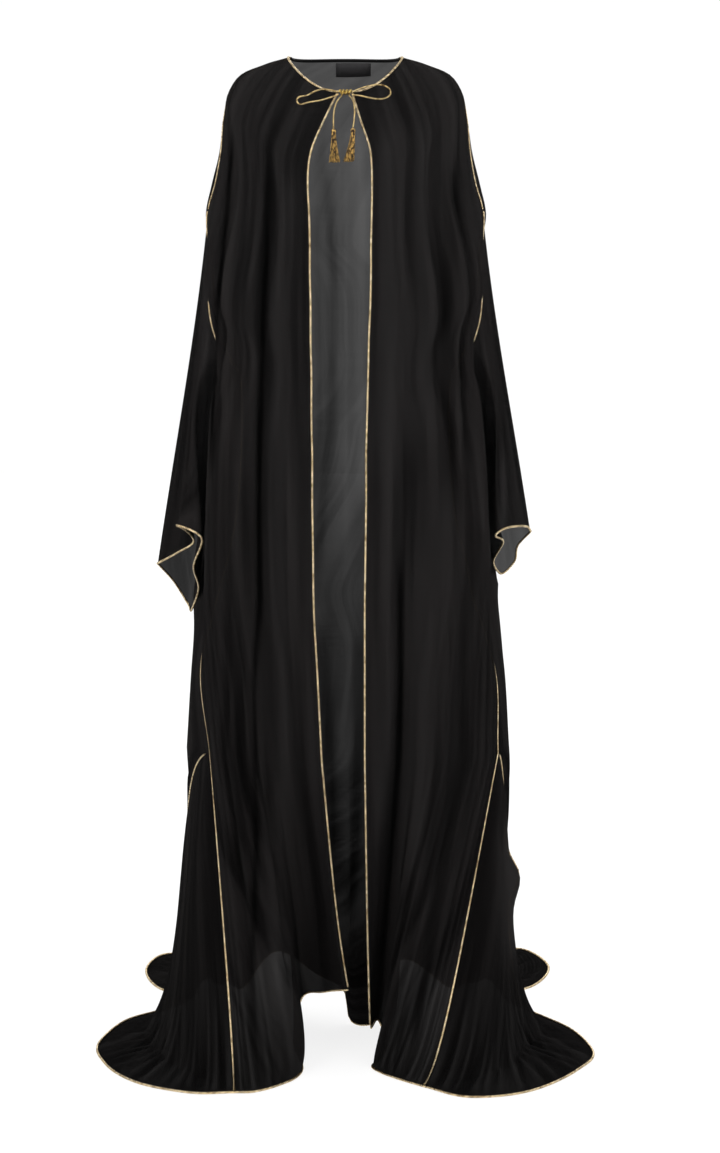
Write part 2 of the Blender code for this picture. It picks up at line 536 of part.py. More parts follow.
def add_cloth(name, grid, material, collection, closed=False, wall=WALL, flip=False):
    """A cloth panel: an open grid of faces with a wall that grows inwards."""
    rows, columns = grid.shape[:2]
    mesh = bpy.data.meshes.new(name)
    maker = bmesh.new()
    corners = [[maker.verts.new(point) for point in row] for row in grid]
    last = columns if closed else columns - 1
    for row in range(rows - 1):
        for column in range(last):
            beside = (column + 1) % columns
            face = [corners[row][column], corners[row + 1][column],
                    corners[row + 1][beside], corners[row][beside]]
            if flip:
                face.reverse()
            maker.faces.new(face)
    bmesh.ops.remove_doubles(maker, verts=maker.verts, dist=0.00005)
    maker.to_mesh(mesh)
    maker.free()
    mesh.materials.append(material)
    panel = bpy.data.objects.new(name, mesh)
    collection.objects.link(panel)
    shell = panel.modifiers.new("Wall", "SOLIDIFY")
    shell.thickness = wall
    shell.offset = -1.0
    mesh.shade_smooth()
    return panel


def add_tube(name, points, diameter, material, collection, resolution=0, cyclic=False):
    """A piping or cord: a round tube along its points."""
    curve = bpy.data.curves.new(name, "CURVE")
    curve.dimensions = "3D"
    curve.bevel_depth = diameter / 2
    curve.bevel_resolution = resolution
    curve.use_fill_caps = not cyclic
    spline = curve.splines.new("POLY")
    spline.points.add(len(points) - 1)
    for knot, point in zip(spline.points, points):
        knot.co = (*point, 1.0)
    spline.use_cyclic_u = cyclic
    curve.materials.append(material)
    tube = bpy.data.objects.new(name, curve)
    collection.objects.link(tube)
    return tube


def shorten(points, start=0.0, end=0.0):
    """Cut a length off each end of a line of points."""
    points = np.asarray(points, dtype=float)
    steps = np.linalg.norm(np.diff(points, axis=0), axis=1)
    along = np.concatenate([[0.0], np.cumsum(steps)])
    low, high = start, along[-1] - end
    inner = [point for place, point in zip(along, points) if low + 0.001 < place < high - 0.001]
    first = [np.interp(low, along, points[:, axis]) for axis in range(3)]
    last = [np.interp(high, along, points[:, axis]) for axis in range(3)]
    return np.array([first, *inner, last])


def mid_wall(points, normals):
    """The middle of a wall, from points on its outer face."""
    return points - normals * WALL / 2


def off_floor(points, diameter):
    points = np.array(points)
    points[:, 2] = np.maximum(points[:, 2], FLOOR + diameter / 2 + 0.0002)
    return points


def smooth_route(points, spacing):
    """Points on a smooth curve through a cord's chosen route."""
    points = np.asarray(points, dtype=float)
    steps = np.linalg.norm(np.diff(points, axis=0), axis=1)
    along = np.concatenate([[0.0], np.cumsum(steps)])
    count = max(4, round(along[-1] / spacing))
    return smooth_row(along, points, np.linspace(0, along[-1], count + 1))


def add_label(back, normals, material, collection):
    """A bare woven patch inside the back neck, from the back's own points moved in."""
    inside = back - normals * (WALL + GAP)
    patch = []
    for drop in np.linspace(*LABEL_DOWN, LABEL_GRID[1] + 1):
        share = drop / SECTION["drop"][1]
        line = inside[0] + (inside[1] - inside[0]) * share
        patch.append([[np.interp(across, line[:, 0], line[:, axis]) for axis in range(3)]
                      for across in np.linspace(*LABEL_ACROSS, LABEL_GRID[0] + 1)])
    add_cloth("neck_label", np.array(patch), material, collection, wall=LABEL_WALL, flip=True)


def add_tie(gold, thread, collection, cutters):
    """The bow, its knot and its two tails with their tassels."""
    bpy.ops.mesh.primitive_uv_sphere_add(segments=12, ring_count=8, radius=0.5, location=KNOT_CENTRE)
    knot = bpy.context.object
    knot.name = knot.data.name = "tie_knot"
    knot.scale = KNOT_SIZE
    knot.data.materials.append(gold)
    knot.data.shade_smooth()
    move_to(knot, collection)
    routes = {"tie_loop_left": LOOP_LEFT, "tie_loop_right": LOOP_RIGHT,
              "tie_tail_left": TAIL_LEFT, "tie_tail_right": TAIL_RIGHT}
    for name, route in routes.items():
        points = smooth_route(route, 2.5 * TIE_CORD)
        add_tube(name, points, TIE_CORD, gold, collection, resolution=2)
    for side, route in ((-1, TAIL_LEFT), (1, TAIL_RIGHT)):
        name = "tassel_left" if side < 0 else "tassel_right"
        add_tassel(name, route[-1], TASSEL_LEAN[side], thread, collection, cutters)


def move_to(item, collection):
    for holder in list(item.users_collection):
        holder.objects.unlink(item)
    collection.objects.link(item)


def cone(maker, low, high, low_radius, high_radius, sides):
    """A tapered strand or collar between two points, added to a mesh in the making."""
    axis = Vector(low) - Vector(high)
    turn = axis.to_track_quat("-Z", "Y").to_matrix().to_4x4()
    place = Matrix.Translation((Vector(low) + Vector(high)) / 2)
    bmesh.ops.create_cone(maker, cap_ends=True, segments=sides, radius1=low_radius,
                          radius2=high_radius, depth=axis.length, matrix=place @ turn)


def add_tassel(name, top, lean, material, collection, cutters):
    """A tassel: a wound head, and strands that stand apart below it."""
    top = Vector(top) - Vector((0, 0, GAP + 0.0002))
    head_end = top - Vector((0, 0, TASSEL_HEAD * 2))
    mesh = bpy.data.meshes.new(name)
    maker = bmesh.new()
    cone(maker, head_end, top, TASSEL_HEAD, TASSEL_HEAD * 0.45, 10)
    maker.to_mesh(mesh)
    maker.free()
    tassel = bpy.data.objects.new(name, mesh)
    mesh.materials.append(material)
    collection.objects.link(tassel)
    strands = bpy.data.meshes.new(name + "_strands")
    maker = bmesh.new()
    rings = ((0.30, 4), (0.62, 6), (0.88, TASSEL_STRANDS - 10))
    root = head_end + Vector((0, 0, TASSEL_HEAD * 0.5))
    for share, count in rings:
        for index in range(count):
            angle = 2 * math.pi * (index + share) / count
            spread = Vector((math.cos(angle), math.sin(angle), 0))
            start = root + spread * TASSEL_HEAD * share * 0.72
            length = TASSEL_LENGTH * (0.94 + 0.06 * math.cos(3 * angle))
            end = root + spread * TASSEL_FLARE * share + Vector(lean) - Vector((0, 0, length))
            cone(maker, end, start, STRAND, STRAND * 0.9, 4)
    maker.to_mesh(strands)
    maker.free()
    cutter = bpy.data.objects.new(name + "_strands", strands)
    cutters.objects.link(cutter)
    cutter.hide_render = True
    cutter.display_type = "WIRE"
    join = tassel.modifiers.new("Strands", "BOOLEAN")
    join.operation = "UNION"
    join.object = cutter
    join.use_self = True


def main():
    for item in list(bpy.data.objects):
        bpy.data.objects.remove(item, do_unlink=True)
    parts = new_collection("kaftan")
    cutters = new_collection("cutters")
    chiffon = new_material("black chiffon", (0.010, 0.010, 0.012), 0.62, alpha=0.9)
    gold = new_material("gold cord", (0.62, 0.42, 0.16), 0.38, 0.8)
    thread = new_material("gold thread", (0.42, 0.26, 0.08), 0.55, 0.3)
    ribbon = new_material("black ribbon", (0.012, 0.012, 0.013), 0.7)
    label = new_material("label weave", (0.030, 0.030, 0.032), 0.75)

    back = back_grid()
    fronts = {side: front_grid(side) for side in (-1, 1)}
    for side in (-1, 1):
        seam = 0 if side < 0 else -1
        for level in range(ARMHOLE_TOP + 1):
            back[level, seam] = fronts[side][level, -1]
        for level in range(ARMHOLE_END, len(SECTIONS)):
            back[level, seam] = fronts[side][level, -1]
    back_normals = grid_normals(back)
    names = {-1: "left", 1: "right"}
    knee = len(SECTIONS) - 1
    joint = PIPING + GAP
    hems = {}

    for side in (-1, 1):
        word = names[side]
        seam = 0 if side < 0 else -1
        front = fronts[side]
        normals = grid_normals(front) * -side
        godet = godet_grid(side, front[knee, -1])
        godet_normals = grid_normals(godet) * -side
        loop = split_loop(armhole_loop(front, back, side), ARMHOLE_SPLIT)
        sleeve = sleeve_grid(side, loop)

        panel = set_back(set_back(front.copy(), 1, 0, HEM_ROOM), 1, -1)
        panel = set_back(set_back(panel, 0, 0), 0, -1, HEM_ROOM)
        add_cloth("front_" + word, panel, chiffon, parts, flip=side < 0)
        room = np.full((len(godet) - 1, 1), GODET_ROOM)
        room[:3] += APEX_ROOM
        gore = set_back(set_back(godet[1:].copy(), 1, 0), 1, -1, room)
        gore = set_back(gore, 0, -1, HEM_ROOM)
        add_cloth("godet_" + word, gore, chiffon, parts, flip=side < 0)
        tube = set_back(sleeve.copy(), 0, 0, closed=True)
        around = np.arange(len(loop)) / len(loop)
        pleat = (around > PLEAT_SPAN[0]) & (around < PLEAT_SPAN[1])
        room = np.where(pleat, CUFF_ROOM, SET_BACK)[:, None]
        tube = set_back(tube, 0, -1, room, closed=True)
        add_cloth("sleeve_" + word, tube, chiffon, parts, closed=True, flip=side > 0)

        centre = mid_wall(front[:, 0], normals[:, 0])
        neck = mid_wall(front[0], normals[0])
        edge = np.concatenate([neck[::-1], centre[1:]])
        seam_normals = normals[:, -1].copy()
        seam_normals[:knee + 1] = unit(seam_normals[:knee + 1] + back_normals[:knee + 1, seam])
        seam_normals[knee + 1:] = unit(seam_normals[knee + 1:] + godet_normals[2:, 0])
        godet_side = godet_normals[:, -1].copy()
        godet_side[2:] = unit(godet_side[2:] + back_normals[knee + 1:, seam])
        seam_line = mid_wall(front[:, -1], seam_normals)
        side_seam = off_floor(seam_line[ARMHOLE_END:], PIPING)
        godet_seam = off_floor(mid_wall(godet[:, -1], godet_side), PIPING)
        hems[side] = np.concatenate([front[-1], godet[-1][1:-1]])
        add_tube("piping_edge_" + word, shorten(edge, joint, joint), PIPING, gold, parts)
        add_tube("piping_shoulder_" + word, shorten(seam_line[:ARMHOLE_TOP + 1], joint, joint),
                 PIPING, gold, parts)
        add_tube("piping_armhole_" + word, loop, PIPING, gold, parts, cyclic=True)
        add_tube("piping_side_" + word, shorten(side_seam, 2 * joint, 1.5 * joint), PIPING, gold, parts)
        add_tube("piping_godet_" + word, shorten(godet_seam, 5 * joint, joint), PIPING, gold, parts)
        add_tube("piping_sleeve_" + word, sleeve[-1], PIPING, gold, parts, cyclic=True)

    room = np.full((len(back), 1), SET_BACK)
    room[knee:knee + 3] += APEX_ROOM
    panel = set_back(set_back(back.copy(), 1, 0, room), 1, -1, room)
    panel = set_back(set_back(panel, 0, 0, BINDING / 2 + GAP), 0, -1, HEM_ROOM)
    add_cloth("back", panel, chiffon, parts, flip=True)
    hem = np.concatenate([hems[-1], back[-1], hems[1][::-1]])
    add_tube("piping_hem", off_floor(hem, PIPING), PIPING, gold, parts)
    neck = mid_wall(back[0], back_normals[0])
    add_tube("neck_binding", shorten(neck, joint, joint), BINDING, ribbon, parts, resolution=1)
    add_label(back, back_normals, label, parts)
    add_tie(gold, thread, parts, cutters)


main()
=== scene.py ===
"""Looks of the sheer open-front kaftan: chiffon, twisted gold piping, neck binding, tie and tassels.

The cloth follows the same sections, hem tables and folds as the solids, read at closer steps, with
finer creases. The origin is on the shoulder line, +X is the wearer's left and the front is at -Y.
"""
import math
import random

import bpy
import numpy as np
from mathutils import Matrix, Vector


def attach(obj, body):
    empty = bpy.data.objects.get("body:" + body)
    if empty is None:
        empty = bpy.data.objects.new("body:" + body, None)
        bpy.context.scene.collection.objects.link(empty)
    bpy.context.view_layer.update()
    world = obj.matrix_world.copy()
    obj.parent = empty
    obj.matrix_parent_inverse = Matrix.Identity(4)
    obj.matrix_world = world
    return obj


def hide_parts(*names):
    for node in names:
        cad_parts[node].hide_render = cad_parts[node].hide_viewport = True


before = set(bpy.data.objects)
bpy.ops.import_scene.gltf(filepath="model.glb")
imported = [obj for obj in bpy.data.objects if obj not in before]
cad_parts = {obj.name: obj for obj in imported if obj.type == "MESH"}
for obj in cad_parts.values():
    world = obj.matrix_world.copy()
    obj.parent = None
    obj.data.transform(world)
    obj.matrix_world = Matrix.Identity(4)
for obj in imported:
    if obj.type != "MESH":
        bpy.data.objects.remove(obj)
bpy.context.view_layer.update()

# Sizes of the cloth and the trims, in metres
MILLIMETRES = 1000.0
FLOOR = -1.500
WALL = 0.002
CLOTH = 0.0005
WELD = 0.00003
PIPING = 0.004
VISIBLE_PIPING = 0.0036
BINDING = 0.005
LABEL_WALL = 0.0008
TIE_CORD = 0.0025
GAP = 0.0003
JOINT = PIPING + GAP
FLOOR_ROOM = 0.0012
CORD_ROOM = 0.0002
SHORTEST_STEP = 0.001

# The sides by their sign along X, and the back's column at each side seam
SIDES = {-1: "left", 1: "right"}
BACK_SEAM = {-1: 0, 1: -1}

# Steps of the cloth's fine grid
ROW_STEP = 0.0085
FALL_STEPS = 6
FRONT_COLUMNS = 72
BACK_COLUMNS = 150
SIDE_CROWDING = 0.45
GODET_COLUMNS = 56
SLEEVE_ROWS = 70
FALL = (0.0, 0.13, 0.26, 0.39, 0.51, 0.62, 0.72, 0.80, 0.87, 0.94, 1.0)

# Opacity of one skin of the chiffon at a height; each wall has two skins. Most rise towards the floor,
# partly for the gathered cloth there and partly as painted shade, standing in for the shadow under the
# garment.
FRONT_DENSITY = ((0.0, 0.80), (-1.05, 0.80), (-1.22, 0.865), (-1.33, 0.920), (-1.5, 0.95))
GODET_DENSITY = ((0.0, 0.84), (-1.0, 0.86), (-1.2, 0.90), (-1.35, 0.94), (-1.5, 0.96))
SLEEVE_DENSITY = ((0.0, 0.80), (-0.60, 0.80), (-0.72, 0.76), (-1.5, 0.76))
SLEEVE_DENSITY_LEFT = ((0.0, 0.80), (-0.60, 0.80), (-0.72, 0.84), (-1.5, 0.86))
BACK_DENSITY = ((0.0, 0.74), (-0.2, 0.75), (-0.36, 0.785), (-0.52, 0.785), (-0.68, 0.820), (-0.84, 0.862),
                (-1.0, 0.893), (-1.165, 0.89), (-1.33, 0.935), (-1.44, 0.98))

# A fold grows over this drop, and is gone over the next at its end; the hem fades them all from here
FOLD_START = 0.12
FOLD_END = 0.15
HEM_FADE = 1.36
# Spread of a crease: its start, width, drift and sway over its room, its waves, and its least strength
CREASE_STARTS = (0.1, 0.9)
CREASE_WAVES = (3, 7)
CREASE_WIDTHS = (0.16, 0.34)
CREASE_DRIFT = 0.4
CREASE_SWAY = 0.05
CREASE_LEAST = 0.35
CREASE_SHARPNESS = 1.6
# The same for a ridge of the cloth on the floor, which turns about a point of its way, and how far
# from the hem it rises
POOL_STARTS = (0.2, 0.8)
POOL_TURN = 0.5
POOL_PIVOT = 0.8
POOL_WIDTHS = (0.18, 0.34)
POOL_LEAST = 0.4
POOL_EDGE = (0.002, 0.035)

# Fine creases: how many run down a panel, how high they stand, a seed for their places, and where
# they grow and end: drops on the fronts and the back, shares of the way down on the others
HEM_DROP = 1.560
CREASES = {
    # panel: count, height, seed, grown over, gone over
    "front": (13, 0.0020, 3, (0.02, 0.25), (1.50, HEM_DROP)),
    "back": (34, 0.0018, 7, (0.04, 0.30), (1.50, HEM_DROP)),
    "sleeve": (16, 0.0022, 5, (0.05, 0.40), (0.85, 1.0)),
    "godet": (15, 0.0070, 9, (0.25, 0.85), (0.90, 1.0)),
}
# How much of a panel's width its first and last columns need to come to rest at their seams
STILL_EDGES = {"front": (0.06, 0.05), "back": (0.025, 0.025), "sleeve": (0.04, 0.04), "godet": (0.06, 0.06)}
# A crease this sharp, in 1/m, gets painted shade in its valley and painted light on its ridge, as much as
# this depth
SHARP_CREASE = 100.0
CREASE_DEPTH = 0.30
CREASE_STEP = 0.0015
# Creases of the cloth that lies on the floor: how many run round each panel and how high they stand
POOL_CREASES = {"front": (9, 0.0060), "back": (40, 0.0060), "godet": (16, 0.0075)}
POOL_FOOT = FLOOR + 0.004
POOL_TOP = -1.36

# Lines of painted shade, where the cloth is also made denser as if doubled in a soft crease, and bands of
# painted light, where it is also made more sheer, in millimetres. Each grows and ends over these lengths in
# metres.
CREASE_SHADE_START = 0.07
CREASE_SHADE_END = 0.10
FLAP_PAINTED_LIGHT = (26, -1.8, ((-1120, 262), (-1400, 268)))
CREASE_SHADE_AND_DENSITY = {
    # panel: rows of half-width, depth (painted shade above 0, painted light below), way of (height, x)
    "front_left": (
        (5, 1.0, ((-140, -112), (-320, -116), (-560, -125), (-800, -125), (-920, -134), (-1160, -131),
                  (-1400, -138))),
        (16, -0.5, ((-160, -76), (-440, -100), (-1400, -97))),
        (4.5, 1.0, ((-90, -164), (-220, -173), (-360, -187), (-460, -192), (-660, -198))),
        (14, 0.5, ((-600, -150), (-900, -152), (-1250, -156))),
    ),
    "front_right": (
        (15, -0.8, ((-80, 60), (-440, 62), (-660, 64))),
        (9, -0.5, ((-560, 64), (-950, 66), (-1200, 46))),
        (26, -0.6, ((-80, 105), (-400, 108), (-620, 104))),
        (16, 0.6, ((-140, 160), (-440, 152), (-700, 154))),
        (5.5, 1.0, ((-720, 80), (-920, 82), (-1040, 79), (-1160, 70), (-1290, 60), (-1420, 51))),
        (13, -0.4, ((-700, 112), (-1300, 106))),
    ),
    "back": (
        (8.5, 0.6, ((-120, -34), (-310, -20), (-440, -20), (-560, -26), (-690, -39), (-860, -50))),
        (24, -0.6, ((-60, 24), (-700, 27))),
        (16, -0.3, ((-540, 0), (-820, 10), (-1160, 4))),
        (8.5, 0.5, ((-860, 20), (-1200, 16), (-1380, 2))),
        (11, 0.6, ((-840, -38), (-980, -34), (-1080, -28), (-1200, -20), (-1320, -12))),
        FLAP_PAINTED_LIGHT,
    ),
    "godet_right": (FLAP_PAINTED_LIGHT,),
    "sleeve_left": ((5.5, -0.7, ((-240, -203), (-450, -209), (-660, -218))),),
    "sleeve_right": (
        (5.5, -0.9, ((-560, 236), (-760, 237))),
        (5, 0.9, ((-540, 222), (-780, 224))),
    ),
}

# Small pushes of the body's sides under the cuffs, and of the right cuff's lower end
CUFF_NUDGE = ((0.225, 0.03, -0.772), (0.040, 0.10, 0.030), (0.0070, 0.004, 0.0030))
NUDGES = (
    # centre, reach, push
    ((-0.228, 0.06, -0.808), (0.05, 0.14, 0.045), (-0.0075, 0.0, 0.0)),
    ((0.222, 0.04, -0.752), (0.05, 0.14, 0.040), (0.0100, 0.0, 0.0)),
)

# The twisted cords: lays round the section, points on each lay and how deep they are parted, and a
# full turn's length and steps
LOBES = 3
LOBE_POINTS = 4
LOBE_DEPTH = 0.32
LAY_LENGTH = 0.0115
STEPS_A_LAY = 12
# The sizes that each twisted cord gives its nodes
ROPE_SIZES = ("Radius", "Turn", "Step")
# How finely the plain binding's section is rounded
TUBE_ROUNDNESS = 5

# Horizontal sections in millimetres, one row for each level. Half-widths are positive, the front is
# at -Y. arm is half the depth of the armhole: 0 where front and back meet in a seam.
SECTION_NAMES = (
    "drop", "front_z", "side_z", "back_z", "front_y", "corner_x", "corner_y", "side_x", "side_y",
    "arm", "rear_x", "rear_y", "back_y", "edge_left", "edge_right")
SECTIONS = (
    (0, -62.5, 0, 5, -100, 97, -66, 83, 0, 0, 80, 45, 65, -10, 10),
    (45, -107, -11, -25, -113, 134, -80, 121, 0, 0, 120, 60, 86, -31.5, 23.5),
    (90, -150, -32, -65, -125, 172, -90, 163, 0, 0, 165, 75, 104, -49, 37),
    (115, -172, -58, -88, -130, 187, -95, 177, 0, 0, 179, 82, 110, -53, 39),
    (140, -195, -87, -112, -135, 182, -100, 183, -4, 0, 194, 88, 116, -54, 39.5),
    (200, -245, -140, -165, -141, 180, -105, 188, -10, 0, 216, 98, 123, -52, 39),
    (255, -290, -187, -220, -145, 187, -108, 196, -14, 0, 237, 102, 127, -51, 38),
    (305, -330, -231, -268, -147, 200, -112, 208, -10, 0, 240, 105, 130, -51, 38),
    (365, -375, -285, -320, -149, 222, -122, 205, 0, 40, 218, 118, 132, -50, 37),
    (425, -425, -345, -375, -150, 230, -134, 204, 0, 60, 211, 126, 133, -50, 35),
    (475, -470, -395, -425, -150, 207, -144, 200, 0, 68, 211, 132, 134, -49, 34),
    (520, -510, -434, -470, -150, 216, -155, 187, 0, 72, 210, 140, 135, -49, 33),
    (560, -548, -462, -515, -150, 236, -165, 170, 0, 42, 206, 142, 135, -49, 32),
    (600, -585, -474, -555, -150, 254, -166, 162, 0, 0, 204, 138, 136, -48, 31),
    (680, -660, -580, -640, -150, 268, -164, 160, 0, 0, 250, 140, 136, -48, 31),
    (760, -735, -690, -725, -150, 271, -162, 168, -10, 0, 306, 160, 137, -47, 30),
    (850, -820, -800, -815, -149, 256, -158, 190, -45, 0, 305, 190, 138, -46, 29),
    (950, -915, -905, -915, -146, 220, -157, 216, -85, 0, 288, 70, 138, -41, 29),
    (1080, -1045, -1040, -1045, -138, 206, -165, 203, -100, 0, 320, 0, 136, -35, 29),
)
ARMHOLE_TOP = 7
ARMHOLE_END = 13
# How much further out the front, the side seam and the back lie on the right than on the left, in
# millimetres
SHIFT_NAMES = ("drop", "corner", "side", "rear")
SHIFTS_RIGHT = (
    (520, 0, 0, 0),
    (600, 6, 0, 0),
    (680, 14, 0, -29),
    (760, 14, 0, -44),
    (850, 12, 0, 15),
    (950, 14, 6, 4),
    (1080, 16, 26, -18),
)
# A flap of cloth that stands out of the right side: its middle, its reach and how far it stands out
FLAP_CENTRE = (0.250, 0.065, -1.262)
FLAP_REACH = (0.050, 0.060, 0.034)
FLAP_PUSH = (0.020, 0.000, 0.000)

# Hem tables in millimetres, one row for each thread. place runs along the panel's hem. bend is the
# curve's first control point, foot its second, and hem the end. A bend of None lies on the line to
# the foot, and a hem without a height on the floor.
BEND_SHARE = 0.72
HEM_HEIGHT = -1498
HEM_FRONT_LEFT = (
    # place, bend, foot, hem
    (0.00, None, (-14, -108, -1300), (4, -100, -1401)),
    (0.12, None, (-45, -88, -1310), (-32, -85, -1408)),
    (0.23, None, (-72, -78, -1330), (-68, -70, -1424)),
    (0.31, None, (-74, -98, -1400), (-78, -96, -1480)),
    (0.39, None, (-54, -140, -1450), (-66, -146)),
    (0.49, None, (-54, -188, -1450), (-65, -207)),
    (0.55, None, (-68, -198, -1480), (-75, -238)),
    (0.62, None, (-92, -196, -1500), (-91, -262)),
    (0.80, None, (-135, -172, -1500), (-126, -297)),
    (1.00, None, (-165, -168, -1495), (-157, -302)),
)
HEM_FRONT_RIGHT = (
    (0.00, None, (34, -118, -1340), (38.5, -120, -1454.5)),
    (0.12, None, (54, -94, -1360), (50, -100, -1448)),
    (0.23, None, (66, -104, -1430), (62, -104, -1484)),
    (0.34, None, (52, -140, -1460), (51, -138)),
    (0.46, None, (50, -164, -1460), (40, -172)),
    (0.58, None, (68, -168, -1490), (52, -202)),
    (0.70, None, (92, -172, -1500), (70, -226)),
    (1.00, None, (142, -162, -1495), (113, -272)),
)
HEM_GODET_LEFT = (
    (0.00, *HEM_FRONT_LEFT[-1][1:]),
    (0.22, (-230, -108, -1390), (-214, -150, -1540), (-224, -302)),
    (0.42, (-252, -70, -1380), (-250, -80, -1570), (-306, -248)),
    (0.60, (-264, -40, -1320), (-250, -30, -1580), (-358, -155)),
    (0.80, (-276, 0, -1220), (-242, 30, -1580), (-376, -20)),
    (0.90, (-288, 30, -1140), (-236, 80, -1560), (-350, 85)),
    (1.00, (-286, 60, -1070), (-222, 140, -1500), (-300, 146)),
)
HEM_GODET_RIGHT = (
    (0.00, *HEM_FRONT_RIGHT[-1][1:]),
    (0.22, (236, -106, -1390), (204, -155, -1540), (180, -324)),
    (0.42, (246, -65, -1400), (242, -80, -1570), (268, -293)),
    (0.60, (248, -35, -1390), (242, -20, -1580), (342, -192)),
    (0.80, (270, 0, -1300), (238, 25, -1580), (374, -70)),
    (0.90, (272, 40, -1180), (238, 80, -1560), (352, 36)),
    (1.00, (258, 70, -1080), (248, 130, -1500), (298, 140)),
)
# The back's hem, from the left godet seam to the right one
HEM_BACK = (
    (0.00, *HEM_GODET_LEFT[-1][1:]),
    (0.04, (-282, 90, -1122), (-204, 190, -1530), (-276, 205)),
    (0.065, (-264, 105, -1180), (-190, 225, -1550), (-286, 248)),
    (0.09, (-252, 115, -1240), (-170, 255, -1560), (-314, 286)),
    (0.15, None, (-190, 290, -1550), (-348, 420)),
    (0.21, None, (-208, 280, -1550), (-320, 530)),
    (0.27, None, (-245, 280, -1540), (-235, 460)),
    (0.30, None, (-230, 240, -1520), (-200, 350)),
    (0.34, None, (-170, 180, -1440), (-175, 240, -1486)),
    (0.40, None, (-110, 150, -1320), (-116, 170, -1406)),
    (0.46, None, (-45, 145, -1340), (-45, 150, -1440)),
    (0.49, None, (-2, 110, -1370), (-2, 104, -1456)),
    (0.51, None, (4, 82, -1380), (5, 76, -1490)),
    (0.535, None, (22, 62, -1390), (24, 56)),
    (0.56, None, (42, 70, -1380), (44, 66)),
    (0.60, None, (80, 145, -1330), (82, 155, -1420)),
    (0.66, None, (170, 180, -1440), (175, 240, -1486)),
    (0.70, None, (230, 240, -1520), (198, 360)),
    (0.73, None, (245, 280, -1540), (232, 480)),
    (0.79, None, (208, 280, -1550), (308, 568)),
    (0.85, None, (190, 290, -1550), (350, 440)),
    (0.91, (258, 120, -1260), (174, 255, -1560), (312, 300)),
    (0.935, (272, 112, -1200), (206, 220, -1560), (283, 262)),
    (0.96, (270, 98, -1140), (224, 180, -1540), (276, 208)),
    (1.00, *HEM_GODET_RIGHT[-1][1:]),
)

# Folds: how wide a fold is, over the panel's width, and how high it stands, then its way down the
# panel as drops and places across. A valley has a negative height.
FOLDS_FRONT_LEFT = (
    (0.055, -0.014, ((0.02, 0.335), (0.30, 0.300), (0.85, 0.250), (1.08, 0.300), (1.40, 0.550))),
    (0.045, -0.007, ((0.02, 0.480), (0.115, 0.440), (0.45, 0.410))),
    (0.050, 0.007, ((0.10, 0.390), (0.85, 0.340), (1.08, 0.420), (1.40, 0.640))),
    (0.055, -0.012, ((0.12, 0.700), (0.40, 0.620), (0.52, 0.700), (0.66, 0.760))),
    (0.050, -0.010, ((0.58, 0.430), (0.85, 0.450), (0.95, 0.560), (1.08, 0.680), (1.45, 0.800))),
    (0.050, -0.008, ((0.85, 0.120), (1.50, 0.120))),
    (0.060, -0.013, ((0.35, 0.890), (0.90, 0.890))),
)
FOLDS_FRONT_RIGHT = (
    (0.050, -0.010, ((0.01, 0.420), (0.115, 0.290), (0.45, 0.260))),
    (0.050, -0.011, ((0.04, 0.500), (0.115, 0.480), (0.305, 0.420), (0.85, 0.380))),
    (0.050, 0.007, ((0.15, 0.340), (0.60, 0.310), (1.08, 0.300), (1.45, 0.360))),
    (0.050, -0.011, ((0.15, 0.690), (0.40, 0.640), (0.475, 0.660), (0.68, 0.450), (0.85, 0.480),
                     (0.95, 0.550), (1.08, 0.570), (1.45, 0.750))),
    (0.050, -0.010, ((0.90, 0.190), (1.20, 0.170), (1.40, 0.250), (1.56, 0.400))),
    (0.060, -0.013, ((0.35, 0.890), (0.90, 0.890))),
)
FOLDS_BACK = (
    (0.022, -0.009, ((0.05, 0.439), (1.50, 0.420))),
    (0.022, 0.008, ((0.15, 0.499), (1.50, 0.490))),
    (0.022, -0.009, ((0.05, 0.560), (1.50, 0.570))),
    (0.026, -0.012, ((0.08, 0.339), (1.60, 0.330))),
    (0.026, -0.012, ((0.08, 0.661), (1.60, 0.670))),
    (0.026, 0.008, ((0.20, 0.258), (1.70, 0.250))),
    (0.026, 0.008, ((0.20, 0.742), (1.70, 0.750))),
    (0.024, -0.009, ((0.45, 0.180), (1.60, 0.180))),
    (0.024, -0.009, ((0.45, 0.820), (1.60, 0.820))),
    (0.030, -0.013, ((0.35, 0.055), (0.90, 0.055))),
    (0.030, -0.013, ((0.35, 0.945), (0.90, 0.945))),
)

# Threads of a sleeve in millimetres, from the outer line round the front. place runs round the
# armhole, end is the hem of the plain sleeve, swing is how far the thread bows out on its way down,
# and pleat is how far the front pleat moves its end.
SLEEVE_LEFT = (
    # place, end, swing, pleat
    (0.00, (-288, 0, -763), -3, (0, 0, 0)),
    (0.08, (-280, -30, -748), -2, (24, -2, 3)),
    (0.16, (-268, -55, -733), 4, (40, -2, 9)),
    (0.20, (-260, -68, -723), 6, (25, -14, 13)),
    (0.25, (-250, -80, -716), 8, (0, -22, 17)),
    (0.34, (-228, -85, -724), 18, (16, -28, 6)),
    (0.42, (-220, -55, -752), 22, (-8, -12, -10)),
    (0.50, (-225, 0, -800), 18, (0, 0, 0)),
    (0.58, (-238, 40, -836), 6, (0, 0, 0)),
    (0.70, (-245, 60, -832), 4, (0, 0, 0)),
    (0.86, (-267, 40, -793), -2, (0, 0, 0)),
)
